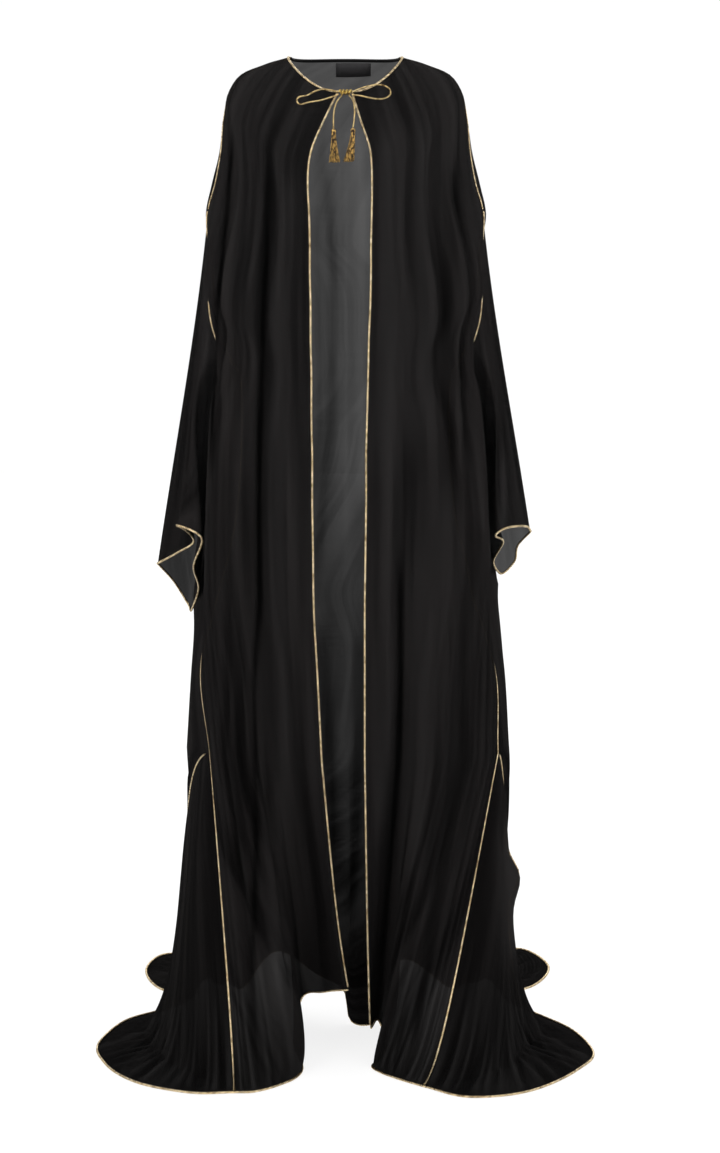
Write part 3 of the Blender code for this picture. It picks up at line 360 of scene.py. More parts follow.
SLEEVE_RIGHT = (
    (0.00, (283, 0, -714), -3, (0, 0, 0)),
    (0.08, (276, -25, -706), -2, (0, 0, 0)),
    (0.16, (262, -50, -702), 4, (0, -4, -1)),
    (0.25, (243, -70, -704), 8, (-4, -8, -1)),
    (0.34, (226, -74, -712), 18, (-2, -8, -4)),
    (0.42, (220, -50, -728), 22, (17, -8, 1)),
    (0.50, (220, 4, -764), 18, (0, 0, 0)),
    (0.58, (234, 50, -785), 6, (0, 0, 0)),
    (0.70, (258, 62, -768), 4, (0, 0, 0)),
    (0.86, (265, 35, -738), -2, (0, 0, 0)),
)
PLEAT_GROWTH = 2.2
SWING_LIFT = 0.5
SLEEVE_CROWDING = 1.25

# The label, a plain patch inside the back neck: from where to where, and how far down the back
LABEL_ACROSS = (-0.0151, 0.0385)
LABEL_DOWN = (0.005, 0.0345)
LABEL_GRID = (6, 2)

# The tie. Its routes are given point by point, in front of the fronts; the left loop's tip is opened to a
# round bend of two diameters.
KNOT_CENTRE = (0.0004, -0.1050, -0.0645)
LOOP_LEFT = (
    (-0.0112, -0.1055, -0.0637), (-0.0214, -0.1085, -0.0617), (-0.0328, -0.1095, -0.0609),
    (-0.0452, -0.1100, -0.0643), (-0.0569, -0.1095, -0.0703), (-0.0658, -0.1085, -0.0711),
    (-0.0692, -0.1082, -0.0731), (-0.0706, -0.1083, -0.0768), (-0.0692, -0.1089, -0.0805),
    (-0.0658, -0.1100, -0.0825), (-0.0532, -0.1125, -0.0799), (-0.0378, -0.1135, -0.0777),
    (-0.0225, -0.1125, -0.0733), (-0.0097, -0.1066, -0.0682))
LOOP_RIGHT = (
    (0.0119, -0.1055, -0.0637), (0.0227, -0.1085, -0.0595), (0.0344, -0.1080, -0.0561),
    (0.0461, -0.1050, -0.0537), (0.0579, -0.1020, -0.0546), (0.0662, -0.1010, -0.0603),
    (0.0668, -0.1035, -0.0672), (0.0600, -0.1075, -0.0732), (0.0468, -0.1110, -0.0751),
    (0.0351, -0.1125, -0.0733), (0.0235, -0.1120, -0.0706), (0.0103, -0.1066, -0.0682))
TAIL_LEFT = (
    (-0.0043, -0.1068, -0.0694), (-0.0092, -0.1135, -0.0754), (-0.0136, -0.1190, -0.0843),
    (-0.0159, -0.1230, -0.0952), (-0.0167, -0.1255, -0.1070), (-0.0164, -0.1262, -0.1192))
TAIL_RIGHT = (
    (0.0059, -0.1068, -0.0694), (0.0109, -0.1135, -0.0754), (0.0135, -0.1190, -0.0843),
    (0.0143, -0.1230, -0.0952), (0.0133, -0.1255, -0.1070), (0.0118, -0.1262, -0.1183))
ROUTE_STEP = 0.0015
LOOP_EASING = 4
KNOT_CORD = 0.0034
KNOT_LENGTH = 0.017
KNOT_RADIUS = 0.0028
KNOT_TURNS = 3.4
KNOT_STEPS = 89
TASSEL_HEAD = 0.0038
TASSEL_HEAD_SIDES = 16
TASSEL_ROOT = 1.5
TASSEL_NECK = 0.72
TASSEL_PROFILE = (
    # depth over twice the head's width, half-width over the head's
    (0.0, 0.40), (0.12, 0.62), (0.30, 0.92), (0.52, 1.0), (0.72, 0.90), (0.80, 0.74), (0.86, 0.78),
    (0.92, 0.74), (0.98, 0.78), (1.04, 0.74), (1.12, 0.86), (1.30, 0.92))
TASSEL_LENGTH = 0.0430
TASSEL_STRANDS = 110
TASSEL_FLARE = 0.0080
TASSEL_SEED = 11
TASSEL_LEAN = {-1: (0.0015, 0.0, 0.0), 1: (-0.0062, 0.0, 0.0)}
STRAND_RADIUS = 0.00042
STRAND_SIDES = 4
STRAND_STEPS = 6
STRAND_WAVE = 0.0006
SHORTEST_STRAND = 0.93
GOLDEN_TURN = 0.618034

# Colours of the finishes, and the pitch of the two weaves in metres
CHIFFON = {
    # shade and light: painted shade and painted light, in streaks down the folds
    "shade": (0.0036, 0.0033, 0.0033),
    "light": (0.0190, 0.0173, 0.0170),
    "thread": (0.0160, 0.0146, 0.0146),
    # low: painted shade, darker towards the floor, where the lower cloth lies in shade
    "low": (0.0012, 0.0011, 0.0011),
    # painted light on crease ridges and along light bands
    "painted_light": (0.0260, 0.0240, 0.0238),
    # crease: painted shade in crease valleys and along dark crease lines
    "crease": (0.0006, 0.0006, 0.0006),
}
CHIFFON_PITCH = 0.0009
LABEL_PITCH = 0.0008
# Painted shade in the grooves between a cord's lays
GOLD_VALLEY_SHADE = (0.080, 0.034, 0.005)
GOLDS = {
    # cord: dull, bright
    "piping": ((0.84, 0.58, 0.25), (1.0, 0.90, 0.66)),
    "tie cord": ((0.74, 0.48, 0.16), (1.0, 0.84, 0.48)),
    "knot": ((0.72, 0.42, 0.06), (1.0, 0.82, 0.30)),
}
THREAD_COLOURS = ((0.022, 0.008, 0.001), (0.66, 0.41, 0.115))
RIBBON_COLOURS = ((0.0015, 0.0014, 0.0014), (0.006, 0.0055, 0.0055))
LABEL_COLOURS = ((0.022, 0.021, 0.022), (0.055, 0.053, 0.055))

# The camera, the floor and the lamps
CAMERA_PLACE = (0.022, -3.6, -0.50)
CAMERA_TILT = 85.5
CAMERA_LENS = 73.65
CAMERA_SENSOR = 36.0
FLOOR_REACH = 25.0
FLOOR_GREY = 0.22
FLOOR_GLOW = 0.82
SKY_STRENGTH = 1.01
LAMPS = (
    # name, place, aim, size, power
    ("key", (-2.2, -3.4, 1.6), (0.0, 0.0, -0.6), 2.0, 45.0),
    ("fill", (2.6, -3.0, 0.6), (0.0, 0.0, -0.7), 2.4, 22.0),
    ("back", (1.4, 3.6, 1.4), (0.0, 0.2, -0.6), 2.4, 40.0),
)


def operator(operation, turned=False):
    """A method of Wire that adds one Math node."""
    def method(self, other=0.5):
        first, second = (other, self) if turned else (self, other)
        return self.tree.node("ShaderNodeMath", {"operation": operation}, {0: first, 1: second})
    return method


class Wire:
    """A socket's output; arithmetic on it adds Math nodes to its tree."""

    def __init__(self, tree, socket):
        self.tree = tree
        self.socket = socket

    __add__ = __radd__ = operator("ADD")
    __sub__ = operator("SUBTRACT")
    __rsub__ = operator("SUBTRACT", turned=True)
    __mul__ = __rmul__ = operator("MULTIPLY")
    __pow__ = operator("POWER")
    sine = operator("SINE")
    cosine = operator("COSINE")


class Tree:
    """Nodes of a material or of a Geometry Nodes group, added one at a time."""

    def __init__(self, nodes):
        self.nodes = nodes

    def feed(self, socket, value):
        if isinstance(value, Wire):
            self.nodes.links.new(value.socket, socket)
        else:
            socket.default_value = value

    def node(self, kind, settings=None, inputs=None, output=0):
        """Add a node with its settings, then its inputs' values or links; its output comes back."""
        made = self.nodes.nodes.new(kind)
        for name, value in (settings or {}).items():
            if name == "stops":
                self.set_stops(made.color_ramp, value)
            else:
                setattr(made, name, value)
        for key, value in (inputs or {}).items():
            self.feed(made.inputs[key], value)
        return Wire(self, made.outputs[output])

    @staticmethod
    def set_stops(ramp, stops):
        while len(ramp.elements) < len(stops):
            ramp.elements.new(1.0)
        for element, (place, colour) in zip(ramp.elements, stops):
            element.position = place
            element.color = colour


class Finish(Tree):
    """A material with one Principled shader."""

    def __init__(self, name, **constants):
        self.material = bpy.data.materials.new(name)
        self.material.use_nodes = True
        super().__init__(self.material.node_tree)
        self.shader = self.nodes.nodes["Principled BSDF"]
        for socket, value in constants.items():
            self.shader.inputs[socket.replace("_", " ")].default_value = value

    def set(self, socket, value):
        self.feed(self.shader.inputs[socket], value)

    def object_place(self):
        return self.node("ShaderNodeTexCoord", output="Object")

    def cloth_place(self):
        return self.node("ShaderNodeUVMap", {"uv_map": "UVMap"})

    def noise(self, place, scale, detail, roughness):
        return self.node("ShaderNodeTexNoise", None, {
            "Vector": place, "Scale": scale, "Detail": detail, "Roughness": roughness})

    def grain(self, place, scale, detail=2.0, roughness=0.6):
        """Noise with its own scale along each axis."""
        drawn = self.node("ShaderNodeMapping", None, {"Vector": place, "Scale": scale})
        return self.noise(drawn, 1.0, detail, roughness)

    def share(self, value, full):
        """A value's share of its full one, from 0 to 1."""
        return self.node("ShaderNodeMapRange", None, {"Value": value, "From Max": full})

    def between(self, value, low, high):
        """A value from 0 to 1, spread to run from low to high."""
        return self.node("ShaderNodeMapRange", None, {"Value": value, "To Min": low, "To Max": high})

    def smooth(self, value, low, high):
        """0 below low, 1 above high, smooth between."""
        return self.node("ShaderNodeMapRange", {"interpolation_type": "SMOOTHSTEP"},
                         {"Value": value, "From Min": low, "From Max": high})

    def attribute(self, name):
        return self.node("ShaderNodeAttribute", {"attribute_name": name}, output="Fac")

    def blend(self, share, first, second):
        """Mix two colours; a colour's three numbers may be given without its opacity."""
        first, second = (value if isinstance(value, Wire) else (*value, 1.0) for value in (first, second))
        inputs = {"Factor": share, 6: first, 7: second}
        return self.node("ShaderNodeMix", {"data_type": "RGBA"}, inputs, output=2)

    def bump(self, height, distance, strength=1.0):
        self.set("Normal", self.node("ShaderNodeBump", None, {
            "Height": height, "Distance": distance, "Strength": strength}))


def weave(finish, place, pitch):
    """Height of a plain weave whose threads are pitch apart."""
    across, along = (finish.node("ShaderNodeSeparateXYZ", None, {0: place}, output=axis) for axis in "XY")
    turns = 2 * math.pi / pitch
    return (across * turns).sine() * (along * turns).sine()


def chiffon_finish(name, density):
    """Sheer black chiffon, one wall of two skins. density gives their opacity by height."""
    finish = Finish(name, Sheen_Weight=0.006, Sheen_Roughness=0.5, Specular_IOR_Level=0.0)
    cloth = finish.cloth_place()
    slub = finish.grain(cloth, (260.0, 9.0, 1.0), 4.0)
    cross = finish.grain(cloth, (9.0, 300.0, 1.0), 4.0)
    threads = slub * 0.5 + cross * 0.5
    pleats = finish.grain(cloth, (34.0, 1.1, 1.0), 3.0, 0.55)
    broad = finish.grain(cloth, (9.0, 0.9, 1.0), 2.0, 0.5)
    # Painted shade and painted light in streaks down the cloth, standing in for the shaded and lit sides of
    # its folds
    fold_light_and_shade = finish.smooth(pleats * 0.6 + broad * 0.4, 0.38, 0.62)
    height = finish.node("ShaderNodeSeparateXYZ", None, {0: finish.object_place()}, output="Z")
    low = finish.share(height, FLOOR)
    # Painted shade in crease valleys and along dark lines, painted light on ridges and along light bands
    gather = finish.attribute("gather")
    crease = finish.share(gather, 1.0)
    painted_light = finish.share(gather, -1.0)
    colour = finish.blend(fold_light_and_shade, CHIFFON["shade"], CHIFFON["light"])
    colour = finish.blend(threads * 0.30, colour, CHIFFON["thread"])
    # Painted shade, darker towards the floor
    colour = finish.blend(low ** 3.0 * 0.66, colour, CHIFFON["low"])
    colour = finish.blend(painted_light * 0.55, colour, CHIFFON["painted_light"])
    colour = finish.blend(crease * 0.92, colour, CHIFFON["crease"])
    finish.set("Base Color", colour)
    stops = [(place / FLOOR, (opacity, opacity, opacity, 1.0)) for place, opacity in density]
    dense = finish.node("ShaderNodeValToRGB", {"stops": stops}, {0: low})
    # The painted streaks and crease depths also change the opacity: denser under painted shade, more sheer
    # under painted light
    finish.set("Alpha", dense + (threads - 0.5) * 0.08 + (0.5 - fold_light_and_shade) * 0.035 + gather * 0.08)
    finish.set("Roughness", finish.between(threads, 0.54, 0.70))
    finish.bump(weave(finish, cloth, CHIFFON_PITCH) * 0.5 + threads, 0.00025, 0.5)
    return finish.material


def gold_finish(name, dull, bright):
    """Twisted metallic cord: bright on the lays, with painted shade, brown, in the grooves between them,
    and painted glints and shade in fine specks.
    """
    finish = Finish(name, Metallic=1.0)
    place = finish.object_place()
    glint = finish.noise(place, 1100.0, 2.0, 0.6)
    wear = finish.noise(place, 60.0, 3.0, 0.6)
    glint_specks = finish.noise(place, 230.0, 1.0, 0.5)
    # Painted shade in the grooves between the lays, and painted glints and shade in fine specks along them
    crest = finish.smooth(finish.attribute("lay") * 0.7 + glint * 0.3 + glint_specks * 1.3, 0.97, 1.27)
    finish.set("Base Color", finish.blend(crest, GOLD_VALLEY_SHADE, finish.blend(wear, dull, bright)))
    finish.set("Roughness", finish.between(glint, 0.16, 0.42))
    finish.bump(glint, 0.0002, 0.7)
    return finish.material


def thread_finish():
    """Ochre and brown threads of the tassels."""
    finish = Finish("gold tassel thread", Metallic=0.55, Sheen_Weight=0.05)
    hue = finish.grain(finish.object_place(), (420.0, 420.0, 190.0))
    finish.set("Base Color", finish.blend(finish.smooth(hue, 0.42, 0.60), *THREAD_COLOURS))
    finish.set("Roughness", finish.between(hue, 0.30, 0.55))
    finish.bump(hue, 0.0004, 0.8)
    return finish.material


def ribbon_finish():
    """Black rolled binding."""
    finish = Finish("black rolled binding", Sheen_Weight=0.01, Specular_IOR_Level=0.08)
    ribs = finish.grain(finish.object_place(), (700.0, 220.0, 700.0), 3.0)
    finish.set("Base Color", finish.blend(ribs, *RIBBON_COLOURS))
    finish.set("Roughness", finish.between(ribs, 0.5, 0.75))
    finish.bump(ribs, 0.0003, 0.6)
    return finish.material


def label_finish():
    """Bare woven satin label."""
    finish = Finish("bare woven label", Sheen_Weight=0.02, Specular_IOR_Level=0.15)
    cloth = finish.cloth_place()
    grain = finish.grain(cloth, (2500.0, 300.0, 1.0), 2.0, 0.5)
    finish.set("Base Color", finish.blend(grain, *LABEL_COLOURS))
    finish.set("Roughness", finish.between(grain, 0.42, 0.62))
    finish.bump(weave(finish, cloth, LABEL_PITCH) * 0.5 + grain, 0.0002, 0.5)
    return finish.material


def table(rows, names):
    """The columns of a table, by name."""
    return {name: rows[:, index] for index, name in enumerate(names)}


def bezier(points, share):
    """Points of a cubic Bezier curve; the last axis of each control point is x, y, z."""
    start, first, second, end = (np.asarray(point, dtype=float) for point in points)
    share = np.asarray(share, dtype=float)[..., None]
    rest = 1 - share
    return (rest ** 3 * start + 3 * rest ** 2 * share * first
            + 3 * rest * share ** 2 * second + share ** 3 * end)


def smooth_row(places, values, wanted):
    """Cubic interpolation through a table's rows, with no overshoot at its ends."""
    places = np.asarray(places, dtype=float)
    values = np.asarray(values, dtype=float)
    slopes = np.gradient(values, places, axis=0)
    index = np.clip(np.searchsorted(places, wanted, side="right") - 1, 0, len(places) - 2)
    span = places[index + 1] - places[index]
    t = ((wanted - places[index]) / span)[:, None]
    span = span[:, None]
    low, high = values[index], values[index + 1]
    return (low * (1 + 2 * t) * (1 - t) ** 2 + high * t ** 2 * (3 - 2 * t)
            + slopes[index] * span * t * (1 - t) ** 2 - slopes[index + 1] * span * t ** 2 * (1 - t))


def between_steps(values, counts):
    """Evenly spaced values within each step of a row, with every value of the row kept."""
    fine = [np.linspace(low, high, count + 1)[:-1] for low, high, count in zip(values, values[1:], counts)]
    return np.concatenate(fine + [[values[-1]]])


LEVEL_ROWS = np.array(SECTIONS) / MILLIMETRES
COARSE = table(LEVEL_ROWS, SECTION_NAMES)
STEPS = np.maximum(1, np.round(np.diff(COARSE["drop"]) / ROW_STEP)).astype(int)
DROPS = between_steps(COARSE["drop"], STEPS)
SECTION = table(smooth_row(COARSE["drop"], LEVEL_ROWS, DROPS), SECTION_NAMES)
SECTION["drop"] = DROPS
SECTION["arm"] = np.maximum(SECTION["arm"], 0.0)
SHIFT = table(np.array(SHIFTS_RIGHT) / MILLIMETRES, SHIFT_NAMES)
LEVELS = np.concatenate([[0], np.cumsum(STEPS)])
ARMHOLE = (int(LEVELS[ARMHOLE_TOP]), int(LEVELS[ARMHOLE_END]))
SECTION["arm"][:ARMHOLE[0] + 1] = 0.0
SECTION["arm"][ARMHOLE[1]:] = 0.0
FINE_FALL = between_steps(np.array(FALL), [FALL_STEPS] * (len(FALL) - 1))
# The drop of every row of a front's or the back's grid
FINE_DROPS = np.concatenate([DROPS, DROPS[-1] + FINE_FALL[1:] * (HEM_DROP - DROPS[-1])])


def half_width(column, shift, level, side):
    """One of a level's half-widths, with the right side's shift."""
    width = SECTION[column][level]
    if side > 0:
        width += np.interp(SECTION["drop"][level], SHIFT["drop"], SHIFT[shift])
    return width


def level_weight(across):
    """How far a thread's level has moved from the front's, or the back's, to the side's."""
    return np.sin(np.pi * across / 2) ** 2


def front_section(level, side, across):
    """One level of a front: across runs from the centre edge to the side seam."""
    row = {name: values[level] for name, values in SECTION.items()}
    edge = row["edge_left"] if side < 0 else row["edge_right"]
    corner = side * half_width("corner_x", "corner", level, side)
    seam = (side * half_width("side_x", "side", level, side), row["side_y"] - row["arm"], 0.0)
    controls = ((edge, row["front_y"], 0.0), ((edge + corner) / 2, row["front_y"], 0.0),
                (corner, row["corner_y"], 0.0), seam)
    points = bezier(controls, across)
    points[:, 2] = row["front_z"] + (row["side_z"] - row["front_z"]) * level_weight(across)
    return points


def back_section(level, across):
    """One level of the back: across runs from the left side seam to the right one."""
    row = {name: values[level] for name, values in SECTION.items()}
    halves = []
    share = 1 - np.abs(1 - 2 * across)
    for side in (-1, 1):
        seam = (side * half_width("side_x", "side", level, side), row["side_y"] + row["arm"], 0.0)
        rear = side * half_width("rear_x", "rear", level, side)
        controls = (seam, (rear, row["rear_y"], 0.0), (rear / 2, row["back_y"], 0.0),
                    (0.0, row["back_y"], 0.0))
        halves.append(bezier(controls, share))
    points = np.where((across < 0.5)[:, None], halves[0], halves[1])
    points[:, 2] = row["back_z"] + (row["side_z"] - row["back_z"]) * level_weight(1 - share)
    return points


def hem_rows(rows, across, knees):
    """Control points of the threads below the knee, read smoothly along a hem table."""
    places = [row[0] for row in rows]
    tops = np.array([[np.interp(row[0], across, knees[:, axis]) for axis in range(3)] for row in rows])
    foots = np.array([row[2] for row in rows]) / MILLIMETRES
    lines = tops + BEND_SHARE * (foots - tops)
    bends = np.array([line if row[1] is None else np.array(row[1]) / MILLIMETRES
                      for row, line in zip(rows, lines)])
    hems = np.array([(*row[3], HEM_HEIGHT)[:3] for row in rows]) / MILLIMETRES
    return [smooth_row(places, values, across) for values in (bends, foots, hems)]


def fall(rows, across, knees):
    """The threads from the knee to the hem, as a grid of rows and columns."""
    bends, foots, hems = hem_rows(rows, across, knees)
    return np.array([bezier((knees, bends, foots, hems), np.full(len(across), share))
                     for share in FINE_FALL[1:]])


def grid_normals(grid):
    """Unit normals of a grid whose rows run down and whose columns run to +X at the back."""
    return unit(np.cross(np.gradient(grid, axis=1), np.gradient(grid, axis=0)))


def ramp(value, low, high):
    """0 below low, 1 above high, smooth between."""
    share = np.clip((value - low) / (high - low), 0, 1)
    return share * share * (3 - 2 * share)


def fold_heights(folds, drops, across):
    """Heights of all the folds over a panel's grid."""
    heights = np.zeros((len(drops), len(across)))
    fade = 1 - ramp(drops, HEM_FADE, HEM_DROP)
    for width, height, way in folds:
        stops, places = np.array(way).T
        centre = np.interp(drops, stops, places)
        grown = ramp(drops, stops[0], stops[0] + FOLD_START)
        gone = 1 - ramp(drops, stops[-1] - FOLD_END, stops[-1])
        shape = np.exp(-((across[None, :] - centre[:, None]) / width) ** 2)
        heights += height * (grown * gone * fade)[:, None] * shape
    return heights


def creases(kind, places, across):
    """Fine creases down a panel: narrow ridges of uneven height that wander as they go."""
    count, height, seed, start_places, end_places = CREASES[kind]
    draw = random.Random(seed)
    share = np.linspace(0, 1, len(places))
    heights = np.zeros((len(places), len(across)))
    for index in range(count):
        start = (index + draw.uniform(*CREASE_STARTS)) / count
        drift = draw.uniform(-CREASE_DRIFT, CREASE_DRIFT) / count
        width = draw.uniform(*CREASE_WIDTHS) / count
        sway = np.sin(share * draw.uniform(*CREASE_WAVES) + index)
        centre = start + drift * share + CREASE_SWAY / count * sway
        strength = height * draw.uniform(CREASE_LEAST, 1.0) * draw.choice((-1, 1, 1))
        away = (across[None, :] - centre[:, None]) / width
        heights += strength * np.exp(-np.abs(away) ** CREASE_SHARPNESS)
    grown = ramp(places, *start_places) * (1 - ramp(places, *end_places))
    return heights * grown[:, None]


def pool_creases(kind, grid, across):
    """Lift the cloth on the floor into uneven ridges that run out to its hem."""
    count, height = POOL_CREASES[kind]
    draw = random.Random(count)
    lift = np.zeros(grid.shape[:2])
    rows = np.linspace(0, 1, len(grid))
    for index in range(count):
        start = (index + draw.uniform(*POOL_STARTS)) / count
        centre = start + draw.uniform(-POOL_TURN, POOL_TURN) / count * (rows - POOL_PIVOT)
        width = draw.uniform(*POOL_WIDTHS) / count
        away = (across[None, :] - centre[:, None]) / width
        lift += height * draw.uniform(POOL_LEAST, 1.0) * np.exp(-away ** 2)
    depth = 1 - ramp(grid[..., 2], POOL_FOOT, POOL_TOP)
    reach = np.cumsum(np.linalg.norm(np.diff(grid, axis=0, append=grid[-1:]), axis=2)[::-1], axis=0)[::-1]
    return lift * depth * ramp(reach, *POOL_EDGE)


def raised(kind, grid, places, across, outward, folds=()):
    """A panel with its folds and fine creases, its edges held still so that its neighbours meet them."""
    start, end = STILL_EDGES[kind]
    free = ramp(across, 0.0, start) * (1 - ramp(across, 1 - end, 1.0))
    heights = (fold_heights(folds, places, across) + creases(kind, places, across)) * free[None, :]
    return grid + heights[..., None] * grid_normals(grid) * outward


def push_out(grid, pushes):
    """Push the cloth away round some centres."""
    for centre, reach, push in pushes:
        away = (grid - np.array(centre)) / np.array(reach)
        grid = grid + np.exp(-(away ** 2).sum(axis=-1, keepdims=True)) * np.array(push)
    return grid


def crease_shade_and_density_depths(name, grid, outward):
    """How much painted shade or painted light the cloth's creases get at each point of a panel; the same
    depths make the cloth denser or more sheer.
    """
    # Painted shade in the valleys of the cloth's bends and painted light on their ridges, by how sharply
    # each row bends
    steps = np.linalg.norm(np.diff(grid, axis=1), axis=2)
    spacing = np.maximum((steps[:, 1:] + steps[:, :-1]) / 2, CREASE_STEP)
    turn = grid[:, 2:] - 2 * grid[:, 1:-1] + grid[:, :-2]
    bend = (turn * grid_normals(grid)[:, 1:-1]).sum(axis=2) * outward / spacing ** 2
    depths = np.pad(np.clip(bend / SHARP_CREASE, -1, 1) * CREASE_DEPTH, ((0, 0), (1, 1)))
    # The listed lines: painted shade on the dark ones, painted light on the light ones
    for width, depth, way in CREASE_SHADE_AND_DENSITY.get(name, ()):
        heights, places = np.array(way).T / MILLIMETRES
        down = -grid[..., 2]
        centre = np.interp(down, -heights, places)
        grown = ramp(down, -heights[0], CREASE_SHADE_START - heights[0])
        gone = 1 - ramp(down, -CREASE_SHADE_END - heights[-1], -heights[-1])
        away = (grid[..., 0] - centre) / (width / MILLIMETRES)
        depths += depth * (grown * gone) * np.exp(-away ** 2)
    return depths


def above_floor(kind, grid, across):
    """Keep the cloth clear of the floor, and crease it where it lies there."""
    grid = push_out(grid, ((FLAP_CENTRE, FLAP_REACH, FLAP_PUSH), *NUDGES))
    low = FLOOR + WALL / 2 + FLOOR_ROOM
    grid[..., 2] = np.maximum(grid[..., 2], low)
    grid[..., 2] += pool_creases(kind, grid, across)
    return grid


def front_grid(side):
    """A front, from the neck and shoulder down, centre edge to side seam."""
    across = np.linspace(0, 1, FRONT_COLUMNS + 1)
    top = np.array([front_section(level, side, across) for level in range(len(DROPS))])
    hem = HEM_FRONT_LEFT if side < 0 else HEM_FRONT_RIGHT
    folds = FOLDS_FRONT_LEFT if side < 0 else FOLDS_FRONT_RIGHT
    grid = np.concatenate([top, fall(hem, across, top[-1])])
    return above_floor("front", raised("front", grid, FINE_DROPS, across, -side, folds), across)


def back_places():
    """Places of the back's columns, closer together at its sides, where the hem turns most."""
    even = np.linspace(0, 1, BACK_COLUMNS + 1)
    return even + SIDE_CROWDING * ((1 - np.cos(np.pi * even)) / 2 - even)


def back_grid():
    """The back, from the neck down, left side seam to right side seam."""
    across = back_places()
    top = np.array([back_section(level, across) for level in range(len(DROPS))])
    grid = np.concatenate([top, fall(HEM_BACK, across, top[-1])])
    return above_floor("back", raised("back", grid, FINE_DROPS, across, 1, FOLDS_BACK), across)


def godet_grid(side, apex):
    """A side godet, from its point at the knee to the hem, front seam to back seam."""
    across = np.linspace(0, 1, GODET_COLUMNS + 1)
    rows = HEM_GODET_LEFT if side < 0 else HEM_GODET_RIGHT
    knees = np.repeat(apex[None, :], len(across), axis=0)
    grid = np.concatenate([knees[None], fall(rows, across, knees)])
    places = np.linspace(0, 1, len(grid))
    return above_floor("godet", raised("godet", grid, places, across, -side), across)


def armhole_loop(front, back, side):
    """The armhole over the arm and round the front, and each point's place round it."""
    levels = np.arange(ARMHOLE[0], ARMHOLE[1] + 1)
    half = np.interp(levels, LEVELS[ARMHOLE_TOP:ARMHOLE_END + 1],
                     np.arange(ARMHOLE_END - ARMHOLE_TOP + 1)) / (2 * (ARMHOLE_END - ARMHOLE_TOP))
    loop = [front[level, -1] for level in levels]
    loop += [back[level, BACK_SEAM[side]] for level in levels[-2:0:-1]]
    return np.array(loop), np.concatenate([half, 1 - half[-2:0:-1]])


def sleeve_grid(side, loop, around):
    """A sleeve: rows from the armhole to the hem, columns round it."""
    rows = SLEEVE_LEFT if side < 0 else SLEEVE_RIGHT
    places = np.array([row[0] for row in rows] + [1.0])
    ends, swings, pleats = (np.array([row[column] for row in (*rows, rows[0])]) / MILLIMETRES
                            for column in (1, 2, 3))
    ends = smooth_row(places, ends, around)
    pleats = smooth_row(places, pleats, around)
    swings = np.interp(around, places, swings)[:, None] * np.array([side, 0.0, SWING_LIFT])
    grid = []
    for share in np.linspace(0, 1, SLEEVE_ROWS) ** SLEEVE_CROWDING:
        bow = 4 * share * (1 - share) ** 2 * swings * 2
        grid.append(loop + (ends - loop) * share + bow + pleats * share ** PLEAT_GROWTH)
    grid = push_out(np.array(grid), (CUFF_NUDGE,))
    return raised("sleeve", grid, np.linspace(0, 1, SLEEVE_ROWS), around, side)


def unit(vectors):
    return vectors / np.maximum(np.linalg.norm(vectors, axis=-1, keepdims=True), 1e-9)


def lengths_along(points):
    steps = np.linalg.norm(np.diff(points, axis=0), axis=1)
    return np.concatenate([[0.0], np.cumsum(steps)])


def shorten(points, start=0.0, end=0.0):
    """Cut a length off each end of a line of points."""
    points = np.asarray(points, dtype=float)
    along = lengths_along(points)
    low, high = start, along[-1] - end
    inner = [point for place, point in zip(along, points)
             if low + SHORTEST_STEP < place < high - SHORTEST_STEP]
    first = [np.interp(low, along, points[:, axis]) for axis in range(3)]
    last = [np.interp(high, along, points[:, axis]) for axis in range(3)]
    return np.array([first, *inner, last])


def smooth_route(points, spacing):
    """Points on a smooth curve through a cord's chosen route."""
    points = np.asarray(points, dtype=float)
    along = lengths_along(points)
    count = max(4, round(along[-1] / spacing))
    return smooth_row(along, points, np.linspace(0, along[-1], count + 1))


def eased(points, rounds):
    """Ease the kinks out of a cord's route; its ends stay."""
    points = np.array(points)
    for _ in range(rounds):
        points[1:-1] = points[1:-1] / 2 + (points[:-2] + points[2:]) / 4
    return points


def off_floor(points, diameter):
    points = np.array(points)
    points[:, 2] = np.maximum(points[:, 2], FLOOR + diameter / 2 + CORD_ROOM)
    return points


def link(name, data):
    piece = bpy.data.objects.new(name, data)
    bpy.context.scene.collection.objects.link(piece)
    return piece


